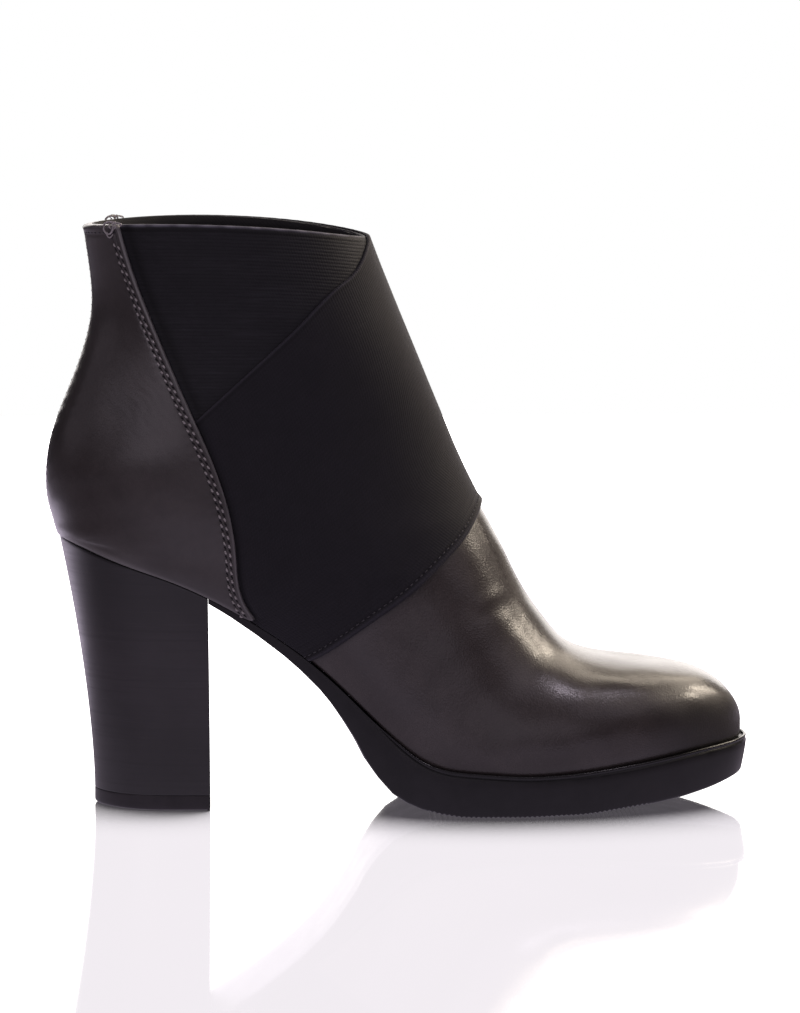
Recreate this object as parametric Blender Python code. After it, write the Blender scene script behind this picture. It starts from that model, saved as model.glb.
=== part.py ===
"""Heeled ankle boot, right foot: an upper on a high last, with an elastic strap
wrapped over the instep, a leather back counter, a platform outsole, a block heel
with its top lift, and an insole.

Frame: +X to the toe, +Y to the medial side, +Z up, floor at z = 0.
All tables are in millimetres; MM turns them into metres.
"""

import math

import bmesh
import bpy
import numpy as np

MM = 0.001

# ---------------------------------------------------------------- named sizes
WALL = 2.0             # upper: leather or elastic plus lining
GAP = 0.3              # clearance between pieces that meet
LAY = 0.4              # height of the overlays' undersides over the upper
STRAP_THICK = 1.1      # woven elastic strap
COUNTER_THICK = 1.2    # leather back counter
COLLAR_ARCH = 3.0      # the rim stands higher at the sides than at front and back
SEAT_ROW = 9           # section whose base reaches the back of the heel seat
FEATHER_TRIM = 1.6     # strap and counter stop this far above the feather edge
SOLE_LEDGE = 2.1       # platform rim outside the upper
WAIST_LEDGE = 0.9      # same, along the waist and the heel seat
LEDGE_FROM, LEDGE_TO = -14.0, 12.0   # x range over which the rim grows
SOLE_TAPER = 1.5       # side wall leans in towards the ground
SOLE_EDGE = 2.2        # rounded lower edge of the platform
BREAST_X = -63.4       # front face of the heel at the seat
HEEL_BACK_X = -101.4   # back of the heel at the ground
HEEL_FRONT_X = -62.9   # front of the heel at the ground
HEEL_FOOT_HALF = 20.5  # half width of the heel at the ground
HEEL_FLARE_X = 1.6     # how late the heel flares towards the seat, lengthwise
HEEL_FLARE_Y = 2.7     # and across
LIFT_THICK = 5.0       # top lift
INSOLE_THICK = 2.4
INSOLE_INSET = 2.9     # from the feather edge of the upper
FRAME_X, FRAME_Y = -0.35, -0.46      # moves the box's centre onto the origin

# Sections of the last, from the collar down to the heel seat and on to the toe.
# Each runs from the ridge (front or top, in the middle) to the base (back seam,
# then the feather edge): ridge x, z; base x, z; axis y; half widths lateral and
# medial at the widest, how far down the section that is, half widths at the base,
# and the roundness of the ridge.
SECTION_COLUMNS = ("ridge_x", "ridge_z", "base_x", "base_z", "axis_y", "half_lat",
                   "half_med", "widest", "base_lat", "base_med", "round_ridge")
SECTIONS = (
    (-10.8, 189.0, -102.3, 193.0, 0.0, 29.5, 29.5, 0.48, 0.0, 0.0, 2.15),
    (-7.3, 179.8, -100.3, 179.0, 0.0, 30.7, 30.7, 0.48, 0.0, 0.0, 2.20),
    (-3.3, 169.8, -99.7, 165.0, 0.0, 31.7, 31.7, 0.47, 0.0, 0.0, 2.20),
    (0.9, 159.5, -102.8, 151.0, 0.0, 32.5, 32.5, 0.46, 0.0, 0.0, 2.25),
    (5.1, 149.3, -107.9, 137.5, 0.0, 33.2, 33.2, 0.48, 0.0, 0.0, 2.30),
    (9.2, 139.2, -112.9, 124.5, 0.0, 33.8, 33.8, 0.52, 0.0, 0.0, 2.35),
    (13.0, 130.0, -115.1, 112.5, 0.0, 34.2, 34.2, 0.57, 0.0, 0.0, 2.40),
    (16.3, 121.8, -114.7, 102.0, 0.0, 34.4, 34.4, 0.61, 0.0, 0.0, 2.40),
    (19.2, 115.0, -112.4, 94.0, 0.0, 34.5, 34.5, 0.63, 0.0, 0.0, 2.40),
    (21.9, 109.2, -111.6, 90.0, 0.0, 34.6, 34.6, 0.63, 0.0, 0.0, 2.40),
    (24.9, 103.2, -103.5, 87.0, 0.0, 34.7, 34.7, 0.62, 16.2, 16.2, 2.40),
    (28.2, 97.6, -90.0, 82.2, 0.0, 34.8, 34.6, 0.60, 24.2, 24.2, 2.40),
    (31.7, 91.4, -74.0, 76.6, 0.0, 35.0, 34.4, 0.58, 26.0, 25.8, 2.35),
    (35.2, 84.7, -57.0, 68.4, 0.0, 35.4, 34.2, 0.56, 26.4, 25.2, 2.30),
    (38.7, 77.4, -40.0, 58.0, 0.2, 35.8, 34.0, 0.56, 27.2, 24.4, 2.25),
    (42.2, 70.9, -24.0, 45.8, 0.4, 37.0, 34.3, 0.60, 30.0, 24.6, 2.20),
    (46.2, 64.9, -8.0, 30.6, 0.7, 38.8, 35.2, 0.68, 34.3, 28.0, 2.20),
    (50.8, 58.8, 8.0, 17.8, 1.0, 40.6, 37.0, 0.78, 38.6, 32.8, 2.20),
    (56.2, 53.2, 24.0, 14.5, 1.3, 42.0, 38.8, 0.84, 41.3, 37.2, 2.20),
    (63.2, 49.8, 40.0, 13.5, 1.6, 42.3, 39.8, 0.86, 41.8, 39.3, 2.20),
    (71.5, 48.1, 56.0, 14.0, 1.9, 41.0, 39.6, 0.86, 40.5, 39.2, 2.25),
    (80.5, 46.9, 71.0, 15.6, 2.2, 38.0, 37.9, 0.86, 37.4, 37.3, 2.30),
    (89.5, 45.6, 84.0, 17.2, 2.4, 33.2, 34.1, 0.85, 32.6, 33.5, 2.35),
    (97.5, 44.0, 95.0, 18.7, 2.5, 27.4, 28.7, 0.84, 26.8, 28.1, 2.35),
    (104.3, 41.4, 104.0, 19.7, 2.5, 20.9, 22.0, 0.82, 20.3, 21.4, 2.30),
    (110.2, 37.0, 110.3, 20.2, 2.5, 14.4, 15.2, 0.80, 14.0, 14.8, 2.20),
    (114.2, 31.2, 114.1, 20.5, 2.5, 7.4, 7.8, 0.72, 7.2, 7.6, 2.10),
    (115.5, 25.5, 115.4, 20.6, 2.5, 0.0, 0.0, 0.62, 0.0, 0.0, 2.00),
)
TIP_ROW = len(SECTIONS) - 1

# Edges of the overlays, as the side view shows them.
COUNTER_EDGE = (  # z, x
    (62.6, -45.9), (70.5, -51.1), (86.7, -54.1), (110.8, -59.3), (136.8, -70.1),
    (159.4, -79.7), (178.6, -87.0), (196.0, -92.0))
STRAP_TOP_EDGE = (  # x, z; lateral side only
    (-75.0, 123.0), (-66.0, 131.5), (-44.2, 151.5), (-32.0, 163.0), (-20.0, 174.3),
    (-12.8, 182.0), (-9.6, 190.0))
VAMP_EDGE = (  # x, z
    (-31.0, 50.4), (-26.6, 52.8), (-17.7, 58.9), (-6.8, 66.7), (5.2, 75.5),
    (14.0, 83.6), (23.0, 93.3), (27.7, 101.0))

# Underside of the outsole: x, z.
SOLE_BOTTOM = (
    (-63.4, 69.9), (-56.4, 65.6), (-47.5, 59.3), (-39.2, 52.8), (-33.2, 47.4),
    (-27.3, 41.4), (-22.9, 35.9), (-19.0, 30.1), (-15.5, 24.4), (-12.6, 18.6),
    (-8.1, 12.2), (-3.7, 7.4), (1.0, 4.6), (5.8, 2.7), (12.0, 1.0), (19.0, 0.1),
    (24.0, 0.0), (58.0, 0.0), (65.0, 0.5), (75.6, 2.1), (84.7, 3.9), (94.5, 5.6),
    (104.4, 7.0), (112.3, 8.0), (118.0, 8.9))


# ------------------------------------------------------------------- the last
def cubic(values, first, last):
    """Natural cubic through evenly spaced values, as a function of the index.
    first and last say how the values go on past the ends: 'free' (straight),
    'even' (mirrored) or 'odd' (mirrored and negated)."""
    v = np.array(values, float)

    def beyond(end, inner, kind):
        return {"free": 2 * end - inner, "even": inner, "odd": 2 * end - inner}[kind]

    v = np.concatenate([[beyond(v[0], v[1], first)], v, [beyond(v[-1], v[-2], last)]])
    n = len(v)
    matrix = np.eye(n)
    right = np.zeros(n)
    for i in range(1, n - 1):
        matrix[i, i - 1:i + 2] = 1.0, 4.0, 1.0
        right[i] = 6.0 * (v[i - 1] - 2.0 * v[i] + v[i + 1])
    bend = np.linalg.solve(matrix, right)

    def at(s):
        t = min(max(s + 1.0, 0.0), n - 1.0)
        i = min(int(t), n - 2)
        b = t - i
        a = 1.0 - b
        return (a * v[i] + b * v[i + 1]
                + ((a ** 3 - a) * bend[i] + (b ** 3 - b) * bend[i + 1]) / 6.0)
    return at


def column(name):
    return [row[SECTION_COLUMNS.index(name)] for row in SECTIONS]


SMOOTH = {name: cubic(column(name), "free", "even" if name in ("ridge_x",) else "free")
          for name in ("ridge_x", "ridge_z", "axis_y", "half_lat", "half_med",
                       "widest", "round_ridge")}
BACK = {name: cubic(column(name)[:SEAT_ROW + 1], "free", "even")
        for name in ("base_x", "base_z")}
FEATHER = {name: cubic(column(name)[SEAT_ROW:],
                       "even" if name in ("base_x", "base_z") else "odd",
                       "even" if name in ("base_x", "base_z") else "odd")
           for name in ("base_x", "base_z", "base_lat", "base_med")}


def base_point(s):
    if s <= SEAT_ROW:
        return BACK["base_x"](s), BACK["base_z"](s)
    return FEATHER["base_x"](s - SEAT_ROW), FEATHER["base_z"](s - SEAT_ROW)


def base_half(s, side):
    if s <= SEAT_ROW:
        return 0.0
    return max(FEATHER["base_lat" if side < 0 else "base_med"](s - SEAT_ROW), 0.0)


DENSE = 48   # samples on each part of a half section before it is spaced by length


def half_section(s, side):
    """Points of one half of section s, from the ridge to the base; side is -1 on the
    lateral half and +1 on the medial half."""
    top = np.array([SMOOTH["ridge_x"](s), SMOOTH["ridge_z"](s)])
    base = np.array(base_point(s))
    half = max(SMOOTH["half_lat" if side < 0 else "half_med"](s), 0.0)
    end = min(base_half(s, side), half)
    widest = SMOOTH["widest"](s)
    power = SMOOTH["round_ridge"](s)
    turn = np.linspace(0.0, math.pi / 2, DENSE)
    down_a = widest * (1.0 - np.cos(turn) ** (2.0 / power))
    out_a = half * np.sin(turn) ** (2.0 / power)
    tuck = 1.0 - (end / half) ** 2 if half > 1e-6 else 0.0
    ease = np.sin(np.linspace(0.0, math.pi / 2, DENSE))[1:]
    down_b = widest + (1.0 - widest) * ease
    out_b = half * np.sqrt(np.maximum(1.0 - tuck * ease ** 2, 0.0))
    down = np.concatenate([down_a, down_b])
    out = np.concatenate([out_a, out_b])
    points = np.empty((len(down), 3))
    points[:, 0] = top[0] + (base[0] - top[0]) * down
    points[:, 2] = top[1] + (base[1] - top[1]) * down
    points[:, 1] = SMOOTH["axis_y"](s) + side * out
    rise = COLLAR_ARCH * max(0.0, 1.0 - s / 3.0) ** 2
    points[:, 2] += rise * (out / max(half, 1e-6)) ** 2
    return points


def lengths(points):
    steps = np.linalg.norm(np.diff(points, axis=0), axis=1)
    return np.concatenate([[0.0], np.cumsum(steps)])


def along(points, shares):
    """Points at these shares of a polyline's length."""
    run = lengths(points)
    if run[-1] < 1e-9:
        return np.repeat(points[:1], len(shares), axis=0)
    want = np.asarray(shares) * run[-1]
    return np.stack([np.interp(want, run, points[:, k]) for k in range(3)], axis=1)


def surface(s, side, share):
    return along(half_section(s, side), [share])[0]


def normal(s, side, share):
    """Outward normal of the upper, by small steps along and across the section."""
    ds, dc = 0.02, 0.004
    seam = share > 1.0 - dc and s <= SEAT_ROW
    if abs(s - SEAT_ROW) < 0.1:     # sections bunch up here: take both sides' mean
        n = normal(SEAT_ROW - 0.12, side, share) + normal(SEAT_ROW + 0.12, side, share)
        if seam:
            n[1] = 0.0
        return n / np.linalg.norm(n)
    if s > SEAT_ROW - 0.6:     # the feather edge takes the normal just above it
        share = min(share, 0.975)
    s0, s1 = max(s - ds, 0.0), min(s + ds, TIP_ROW - 0.01)
    if s < SEAT_ROW < s1:
        s1 = float(SEAT_ROW)
    c0, c1 = max(share - dc, 0.0), min(share + dc, 1.0)
    run = surface(s1, side, share) - surface(s0, side, share)
    across = surface(s, side, c1) - surface(s, side, c0)
    n = np.cross(run, across) * side
    if share < dc:      # on the ridge: in the middle plane
        n[1] = 0.0
    if seam:
        n[1] = 0.0
    size = np.linalg.norm(n)
    if size < 1e-12:
        return np.array([1.0, 0.0, 0.0])
    return n / size


def crossing(points, test):
    """Share of a polyline's length where test(x, z) turns from negative to positive."""
    value = np.array([test(p[0], p[2]) for p in points])
    run = lengths(points)
    for i in range(len(points) - 1):
        if value[i] < 0.0 <= value[i + 1]:
            f = value[i] / (value[i] - value[i + 1])
            return (run[i] + f * (run[i + 1] - run[i])) / run[-1]
    return None


COUNTER_Z = np.array([row[0] for row in COUNTER_EDGE])
COUNTER_X = np.array([row[1] for row in COUNTER_EDGE])


def counter_share(s, side):
    """Where the counter's front edge crosses section s, as a share of the half."""
    points = half_section(s, side)
    found = crossing(points, lambda x, z: np.interp(z, COUNTER_Z, COUNTER_X) - x)
    return 1.0 if found is None else found


# ------------------------------------------------------------------ mesh tools
ROOT = None


def start():
    global ROOT
    for old in list(bpy.data.objects):
        bpy.data.objects.remove(old)
    ROOT = bpy.data.objects.new("boot", None)
    bpy.context.scene.collection.objects.link(ROOT)
    ROOT.location = (FRAME_X * MM, FRAME_Y * MM, 0.0)


def material(name, colour, roughness, metallic=0.0):
    made = bpy.data.materials.new(name)
    made.use_nodes = True
    shader = made.node_tree.nodes["Principled BSDF"]
    shader.inputs["Base Color"].default_value = (*colour, 1.0)
    shader.inputs["Roughness"].default_value = roughness
    shader.inputs["Metallic"].default_value = metallic
    return made


def finish(name, bm, look, weld=1e-5):
    bmesh.ops.remove_doubles(bm, verts=bm.verts, dist=weld)
    bmesh.ops.dissolve_degenerate(bm, edges=bm.edges, dist=weld)
    bmesh.ops.triangulate(bm, faces=bm.faces, quad_method="SHORT_EDGE")
    bmesh.ops.recalc_face_normals(bm, faces=bm.faces)
    mesh = bpy.data.meshes.new(name)
    bm.to_mesh(mesh)
    bm.free()
    mesh.shade_smooth()
    mesh.set_sharp_from_angle(angle=math.radians(35))
    mesh.materials.append(look)
    made = bpy.data.objects.new(name, mesh)
    bpy.context.scene.collection.objects.link(made)
    made.parent = ROOT
    return made


def lay(bm, grid):
    """Vertices of a grid of points in millimetres."""
    return [[bm.verts.new(p * MM) for p in row] for row in grid]


def skin(bm, rows, flip=False, closed=False):
    for a, b in zip(rows[:-1], rows[1:]):
        count = len(a)
        for i in range(count if closed else count - 1):
            j = (i + 1) % count
            quad = (a[i], a[j], b[j], b[i])
            bm.faces.new(quad[::-1] if flip else quad)


def thick_sheet(name, outer, inner, look, wrap_rows=0):
    """A closed solid between two grids of the same shape. The first wrap_rows rows are
    rings, whose first and last points meet at the back seam; the last row is the tip,
    where the two halves meet."""
    bm = bmesh.new()
    out, inn = lay(bm, outer), lay(bm, inner)
    skin(bm, out)
    skin(bm, inn, flip=True)
    skin(bm, [out[0], inn[0]], flip=True)
    for side in (0, -1):
        edge_o = [row[side] for row in out][max(wrap_rows - 1, 0):]
        edge_i = [row[side] for row in inn][max(wrap_rows - 1, 0):]
        skin(bm, [edge_o, edge_i], flip=side != 0)
    return finish(name, bm, look)


# -------------------------------------------------------------------- pieces
def spaced(count, bias=0.0):
    """count + 1 shares from 0 to 1, closer together at both ends for bias up to 1."""
    u = np.linspace(0.0, 1.0, count + 1)
    return u - bias * np.sin(2 * math.pi * u) / (2 * math.pi)


UPPER_ROWS = np.concatenate([
    np.linspace(0.0, SEAT_ROW, 15)[:-1],
    np.linspace(SEAT_ROW, 11.0, 6)[:-1],
    np.linspace(11.0, 23.0, 15)[:-1],
    TIP_ROW - np.linspace(2.0, 0.0, 7) ** 2])


def build_upper(look):
    rows = UPPER_ROWS
    shares = spaced(15, 0.5)
    outer, inner = [], []
    for s in rows:
        halves = {}
        for side in (-1, 1):
            line = along(half_section(s, side), shares)
            norm = np.array([normal(s, side, c) for c in shares])
            halves[side] = (line, line - WALL * norm)
        outer.append(np.concatenate([halves[-1][0][::-1], halves[1][0][1:]]))
        inner.append(np.concatenate([halves[-1][1][::-1], halves[1][1][1:]]))
        inner[-1][:, 2] = np.maximum(inner[-1][:, 2], feather_z(inner[-1][:, 0]))
    wrap = int(np.sum(rows <= SEAT_ROW + 1e-9))
    inner[-1] = outer[-1].copy()
    inner[-1][:, 0] -= WALL
    return thick_sheet("upper", outer, inner, look, wrap_rows=wrap)


def lifted(s, side, share, height):
    p = surface(s, side, share) + height * normal(s, side, share)
    p[2] = max(p[2], feather_z(p[0]) + 0.1)
    return p


def trim_share(s, side, reach):
    """Share of half section s that stops reach millimetres short of the base."""
    if s <= SEAT_ROW:
        return 1.0
    run = lengths(half_section(s, side))[-1]
    return 1.0 - min(reach * min(1.0, (s - SEAT_ROW) * 2.0), 0.4 * run) / run


def build_counter(look):
    tip = SEAT_ROW
    for s in np.arange(SEAT_ROW, 15.0, 0.02):   # last section that the edge crosses
        if counter_share(s, -1) >= trim_share(s, -1, FEATHER_TRIM) - 0.02:
            break
        tip = s
    rows = np.append(UPPER_ROWS[UPPER_ROWS < tip - 0.1], tip)
    shares = np.linspace(0.0, 1.0, 11)
    low, high = [], []
    for s in rows:
        line = {}
        for side in (-1, 1):
            begin = counter_share(s, side)
            end = trim_share(s, side, FEATHER_TRIM)
            begin = min(begin, end - 0.004)
            spots = begin + (end - begin) * shares
            line[side] = [[lifted(s, side, c, h) for c in spots]
                          for h in (LAY, LAY + COUNTER_THICK)]
        low.append((line[-1][0], line[1][0]))
        high.append((line[-1][1], line[1][1]))
    # The two halves run from front edge to back seam; below the seat they part.
    bm = bmesh.new()
    seam = int(np.sum(rows <= SEAT_ROW + 1e-9))
    for half in (0, 1):
        out = lay(bm, [row[half] for row in high])
        inn = lay(bm, [row[half] for row in low])
        skin(bm, out, flip=half == 1)
        skin(bm, inn, flip=half == 0)
        skin(bm, [out[0], inn[0]])
        skin(bm, [out[-1], inn[-1]])
        skin(bm, [[r[0] for r in out], [r[0] for r in inn]])
        skin(bm, [[r[-1] for r in out][seam - 1:], [r[-1] for r in inn][seam - 1:]])
    return finish("back_counter", bm, look)


def edge_row(side, share_of, test, low, high):
    """Section at which the line share_of(s) of a half crosses an edge, by bisection;
    test(x, z) is negative above the edge."""
    def value(s):
        p = surface(s, side, share_of(s))
        return test(p[0], p[2])
    if value(low) >= 0.0:
        return low
    for _ in range(40):
        mid = 0.5 * (low + high)
        if value(mid) < 0.0:
            low = mid
        else:
            high = mid
    return 0.5 * (low + high)


def below(edge):
    xs = np.array([row[0] for row in edge])
    zs = np.array([row[1] for row in edge])

    def test(x, z):
        k = min(max(int(np.searchsorted(xs, x)) - 1, 0), len(xs) - 2)
        line = zs[k] + (zs[k + 1] - zs[k]) * (x - xs[k]) / (xs[k + 1] - xs[k])
        return line - z
    return test


def build_strap(look):
    count, deep = 18, 18
    steps = 1.0 - (1.0 - np.linspace(0.0, 1.0, deep + 1)) ** 1.3
    top_test, low_test = below(STRAP_TOP_EDGE), below(VAMP_EDGE)
    table = {}

    def reach(s, side):
        """Where the strap ends on section s: against the counter, or at the feather."""
        key = (round(s, 4), side)
        if key not in table:
            run = lengths(half_section(s, side))[-1]
            table[key] = min(counter_share(s, side) - 0.6 / run,
                             trim_share(s, side, FEATHER_TRIM))
        return table[key]

    columns = []
    for side in (-1, 1):
        for k in (range(count, -1, -1) if side < 0 else range(1, count + 1)):
            n = k / count

            def share_of(s, n=n, side=side):
                return n * reach(s, side)
            top = 0.0
            if side < 0 and n > 0.02:
                top = edge_row(side, share_of, top_test, 0.0, 12.0)
            low = edge_row(side, share_of, low_test, 8.0, 17.5)
            spots = [(s, share_of(s)) for s in top + (low - top) * steps]
            columns.append([[lifted(s, side, c, h) for s, c in spots]
                            for h in (LAY, LAY + STRAP_THICK)])
    inner = [column[0] for column in columns]
    outer = [column[1] for column in columns]
    bm = bmesh.new()
    out, inn = lay(bm, outer), lay(bm, inner)
    skin(bm, out, flip=True)
    skin(bm, inn)
    skin(bm, [out[0], inn[0]])
    skin(bm, [out[-1], inn[-1]], flip=True)
    for side in (0, -1):
        skin(bm, [[r[side] for r in out], [r[side] for r in inn]], flip=side == 0)
    return finish("elastic_strap", bm, look)


def plan_edge(s, side, out):
    """Point of the feather outline at section s, moved out in plan."""
    def at(q):
        return np.array([base_point(q)[0],
                         SMOOTH["axis_y"](q) + side * base_half(q, side)])
    if s > TIP_ROW - 1e-6:
        return at(TIP_ROW) + np.array([out, 0.0])
    if s < SEAT_ROW + 1e-6:
        return at(SEAT_ROW) - np.array([out, 0.0])
    a, b = at(max(s - 0.02, SEAT_ROW)), at(min(s + 0.02, TIP_ROW))
    d = (b - a) / np.linalg.norm(b - a)
    return at(s) + out * side * np.array([-d[1], d[0]])


def feather_z(x):
    return np.interp(x, FEATHER_X, FEATHER_Z)


FEATHER_S = np.linspace(SEAT_ROW, TIP_ROW, 600)
FEATHER_X = np.array([base_point(s)[0] for s in FEATHER_S])
FEATHER_Z = np.array([base_point(s)[1] for s in FEATHER_S])
BOTTOM_X = np.array([row[0] for row in SOLE_BOTTOM])
BOTTOM_Z = np.array([row[1] for row in SOLE_BOTTOM])


def ease(u):
    u = min(max(u, 0.0), 1.0)
    return u * u * (3 - 2 * u)


def ledge(x):
    return WAIST_LEDGE + (SOLE_LEDGE - WAIST_LEDGE) * ease(
        (x - LEDGE_FROM) / (LEDGE_TO - LEDGE_FROM))


def row_at(x):
    return float(np.interp(x, FEATHER_X, FEATHER_S))


def build_outsole(look):
    first = row_at(BREAST_X + 2 * GAP)
    rows = np.concatenate([np.linspace(first, 23.0, 27)[:-1],
                           TIP_ROW - np.linspace(2.0, 0.0, 8) ** 2])
    loops = []
    for s in rows:
        x, z = base_point(s)
        top = z - GAP
        rim = ledge(x)
        # Going round: lateral rim, over the top, medial rim, down and back under.
        loop = []
        lat, med = plan_edge(s, -1, rim), plan_edge(s, 1, rim)
        for f in (0.0, 0.33, 0.67, 1.0):
            p = lat + (med - lat) * f
            loop.append((p[0], p[1], top))
        for side in (1, -1):
            edge = plan_edge(s, side, rim)
            floor = np.interp(edge[0], BOTTOM_X, BOTTOM_Z)
            tall = max(top - floor, 0.5)
            wall = []
            for inset, drop in ((0.15, 0.18), (0.75, 0.62), (1.0, 1.0)):
                p = plan_edge(s, side, rim - SOLE_TAPER * min(1.0, tall / 10.0) * inset)
                wall.append((p[0], p[1], top - (tall - min(SOLE_EDGE, 0.45 * tall)) * drop))
            p = plan_edge(s, side, rim - (SOLE_TAPER + SOLE_EDGE * 0.8) * min(1.0, tall / 10.0))
            wall.append((p[0], p[1], np.interp(p[0], BOTTOM_X, BOTTOM_Z)))
            if side > 0:
                loop += wall
                med_low = p
            else:
                for f in (0.33, 0.67):
                    q = med_low + (p - med_low) * f
                    loop.append((q[0], q[1], np.interp(q[0], BOTTOM_X, BOTTOM_Z)))
                loop += wall[::-1]
        loops.append(np.array(loop))
    bm = bmesh.new()
    rings = lay(bm, loops)
    skin(bm, rings, closed=True)
    bm.faces.new(rings[0])
    return finish("outsole", bm, look)


def heel_outline():
    """Plan points round the heel seat, from the lateral end of the breast round the back
    to the medial end, then along the breast."""
    last = row_at(BREAST_X)
    rows = SEAT_ROW + (last - SEAT_ROW) * np.linspace(1.0, 0.0, 13) ** 1.4
    lateral = [plan_edge(s, -1, WAIST_LEDGE) for s in rows[:-1]]
    medial = [plan_edge(s, 1, WAIST_LEDGE) for s in rows[::-1][1:]]
    back = [plan_edge(SEAT_ROW, 1, WAIST_LEDGE)]
    for ends in (lateral, medial):
        k = 0 if ends is lateral else -1
        ends[k] = np.array([BREAST_X, ends[k][1]])
    breast = [medial[-1] + (lateral[0] - medial[-1]) * f for f in (0.25, 0.5, 0.75)]
    return np.array(lateral + back + medial + breast)


def heel_foot(seat):
    """The outline at the ground, from the outline at the seat."""
    low, high = seat[:, 0].min(), seat[:, 0].max()
    share = (seat[:, 0] - low) / (high - low)
    half = np.abs(seat[:, 1]).max()
    return np.stack([HEEL_BACK_X + (HEEL_FRONT_X - HEEL_BACK_X) * share,
                     seat[:, 1] * HEEL_FOOT_HALF / half], axis=1)


def cap(bm, ring, points, height, flip):
    """Closes a ring towards its middle, with a ring half way."""
    middle = points.mean(axis=0)
    inner = []
    for p in points:
        q = middle + (p - middle) * 0.5
        inner.append(bm.verts.new(np.array([q[0], q[1], height(q[0])]) * MM))
    centre = bm.verts.new(np.array([middle[0], middle[1], height(middle[0])]) * MM)
    skin(bm, [ring, inner], flip=flip, closed=True)
    for i in range(len(inner)):
        trio = (inner[i], inner[(i + 1) % len(inner)], centre)
        bm.faces.new(trio[::-1] if flip else trio)


def build_heel(look):
    seat = heel_outline()
    foot = heel_foot(seat)
    low = LIFT_THICK + GAP
    rings = []
    for r in np.linspace(0.0, 1.0, 9):
        ring = []
        for a, b in zip(foot, seat):
            top = feather_z(b[0]) - GAP
            ring.append((a[0] + (b[0] - a[0]) * r ** HEEL_FLARE_X,
                         a[1] + (b[1] - a[1]) * r ** HEEL_FLARE_Y,
                         low + (top - low) * r))
        rings.append(np.array(ring))
    bm = bmesh.new()
    laid = lay(bm, rings)
    skin(bm, laid, closed=True)
    cap(bm, laid[-1], rings[-1][:, :2], lambda x: feather_z(x) - GAP, False)
    bm.faces.new(laid[0][::-1])
    return finish("heel", bm, look)


def build_lift(look):
    foot = heel_foot(heel_outline())
    middle = foot.mean(axis=0)
    rings = []
    for z, inset in ((0.0, 0.8), (0.9, 0.0), (LIFT_THICK, 0.0)):
        size = np.linalg.norm(foot - middle, axis=1, keepdims=True)
        p = foot - (foot - middle) / size * inset
        rings.append(np.column_stack([p, np.full(len(p), z)]))
    bm = bmesh.new()
    laid = lay(bm, rings)
    skin(bm, laid, closed=True)
    bm.faces.new(laid[0][::-1])
    bm.faces.new(laid[-1])
    return finish("heel_top_lift", bm, look)


def build_insole(look):
    rows = np.concatenate([SEAT_ROW + np.linspace(0.0, 1.4, 6)[:-1] ** 2,
                           np.linspace(SEAT_ROW + 1.96, 23.5, 20)[:-1],
                           TIP_ROW - np.linspace(1.87, 0.0, 7) ** 2])
    loops = []
    for s in rows:
        z = base_point(s)[1]
        lat, med = plan_edge(s, -1, -INSOLE_INSET), plan_edge(s, 1, -INSOLE_INSET)
        loop = []
        for height, order in ((INSOLE_THICK, (0.0, 0.33, 0.67, 1.0)),
                              (0.0, (1.0, 0.67, 0.33, 0.0))):
            for f in order:
                p = lat + (med - lat) * f
                loop.append((p[0], p[1], feather_z(p[0]) + height))
        loops.append(np.array(loop))
    bm = bmesh.new()
    rings = lay(bm, loops)
    skin(bm, rings, closed=True)
    return finish("insole", bm, look)


def main():
    start()
    leather = material("leather_taupe", (0.055, 0.045, 0.042), 0.38)
    counter = material("leather_counter", (0.042, 0.035, 0.034), 0.40)
    elastic = material("elastic_black", (0.010, 0.010, 0.012), 0.85)
    rubber = material("rubber_black", (0.012, 0.012, 0.013), 0.50)
    stacked = material("heel_black", (0.018, 0.016, 0.017), 0.42)
    lining = material("lining_black", (0.015, 0.014, 0.014), 0.80)
    build_upper(leather)
    build_counter(counter)
    build_strap(elastic)
    build_outsole(rubber)
    build_heel(stacked)
    build_lift(rubber)
    build_insole(lining)


main()
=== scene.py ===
"""Looks of the heeled ankle boot, right foot: taupe leather vamp and counter, ribbed
elastic, black platform sole and block heel, on a white studio floor.

The last is the same set of sections that the solids are made from, sampled finely.
Tables and functions work in millimetres; put() turns them into the frame's metres.
A place on the last is (s, c): s counts sections from the collar to the toe, and c runs
across one, from -1 at the lateral base over 0 on the ridge to 1 at the medial base.
"""

import math

import bmesh
import bpy
import numpy as np
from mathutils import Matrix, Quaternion, Vector
from mathutils.bvhtree import BVHTree
from mathutils.kdtree import KDTree


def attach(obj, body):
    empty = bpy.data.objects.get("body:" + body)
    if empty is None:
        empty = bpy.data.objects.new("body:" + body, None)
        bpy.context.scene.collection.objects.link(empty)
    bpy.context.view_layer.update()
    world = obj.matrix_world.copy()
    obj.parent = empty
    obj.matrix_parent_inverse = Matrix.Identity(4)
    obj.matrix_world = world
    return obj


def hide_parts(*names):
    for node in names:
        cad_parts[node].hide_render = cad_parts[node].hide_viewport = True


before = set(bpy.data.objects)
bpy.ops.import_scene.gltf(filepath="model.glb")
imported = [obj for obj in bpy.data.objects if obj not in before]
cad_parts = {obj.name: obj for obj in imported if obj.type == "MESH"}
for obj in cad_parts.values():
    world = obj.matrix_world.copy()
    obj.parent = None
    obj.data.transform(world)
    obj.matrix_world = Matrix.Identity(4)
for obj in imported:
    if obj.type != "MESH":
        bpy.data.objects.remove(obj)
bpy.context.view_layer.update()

MM = 0.001
SHIFT = np.array([-0.35, -0.46, 0.0])     # the tables' origin in the frame
FINE = 1.0     # share of the full grid density

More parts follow.
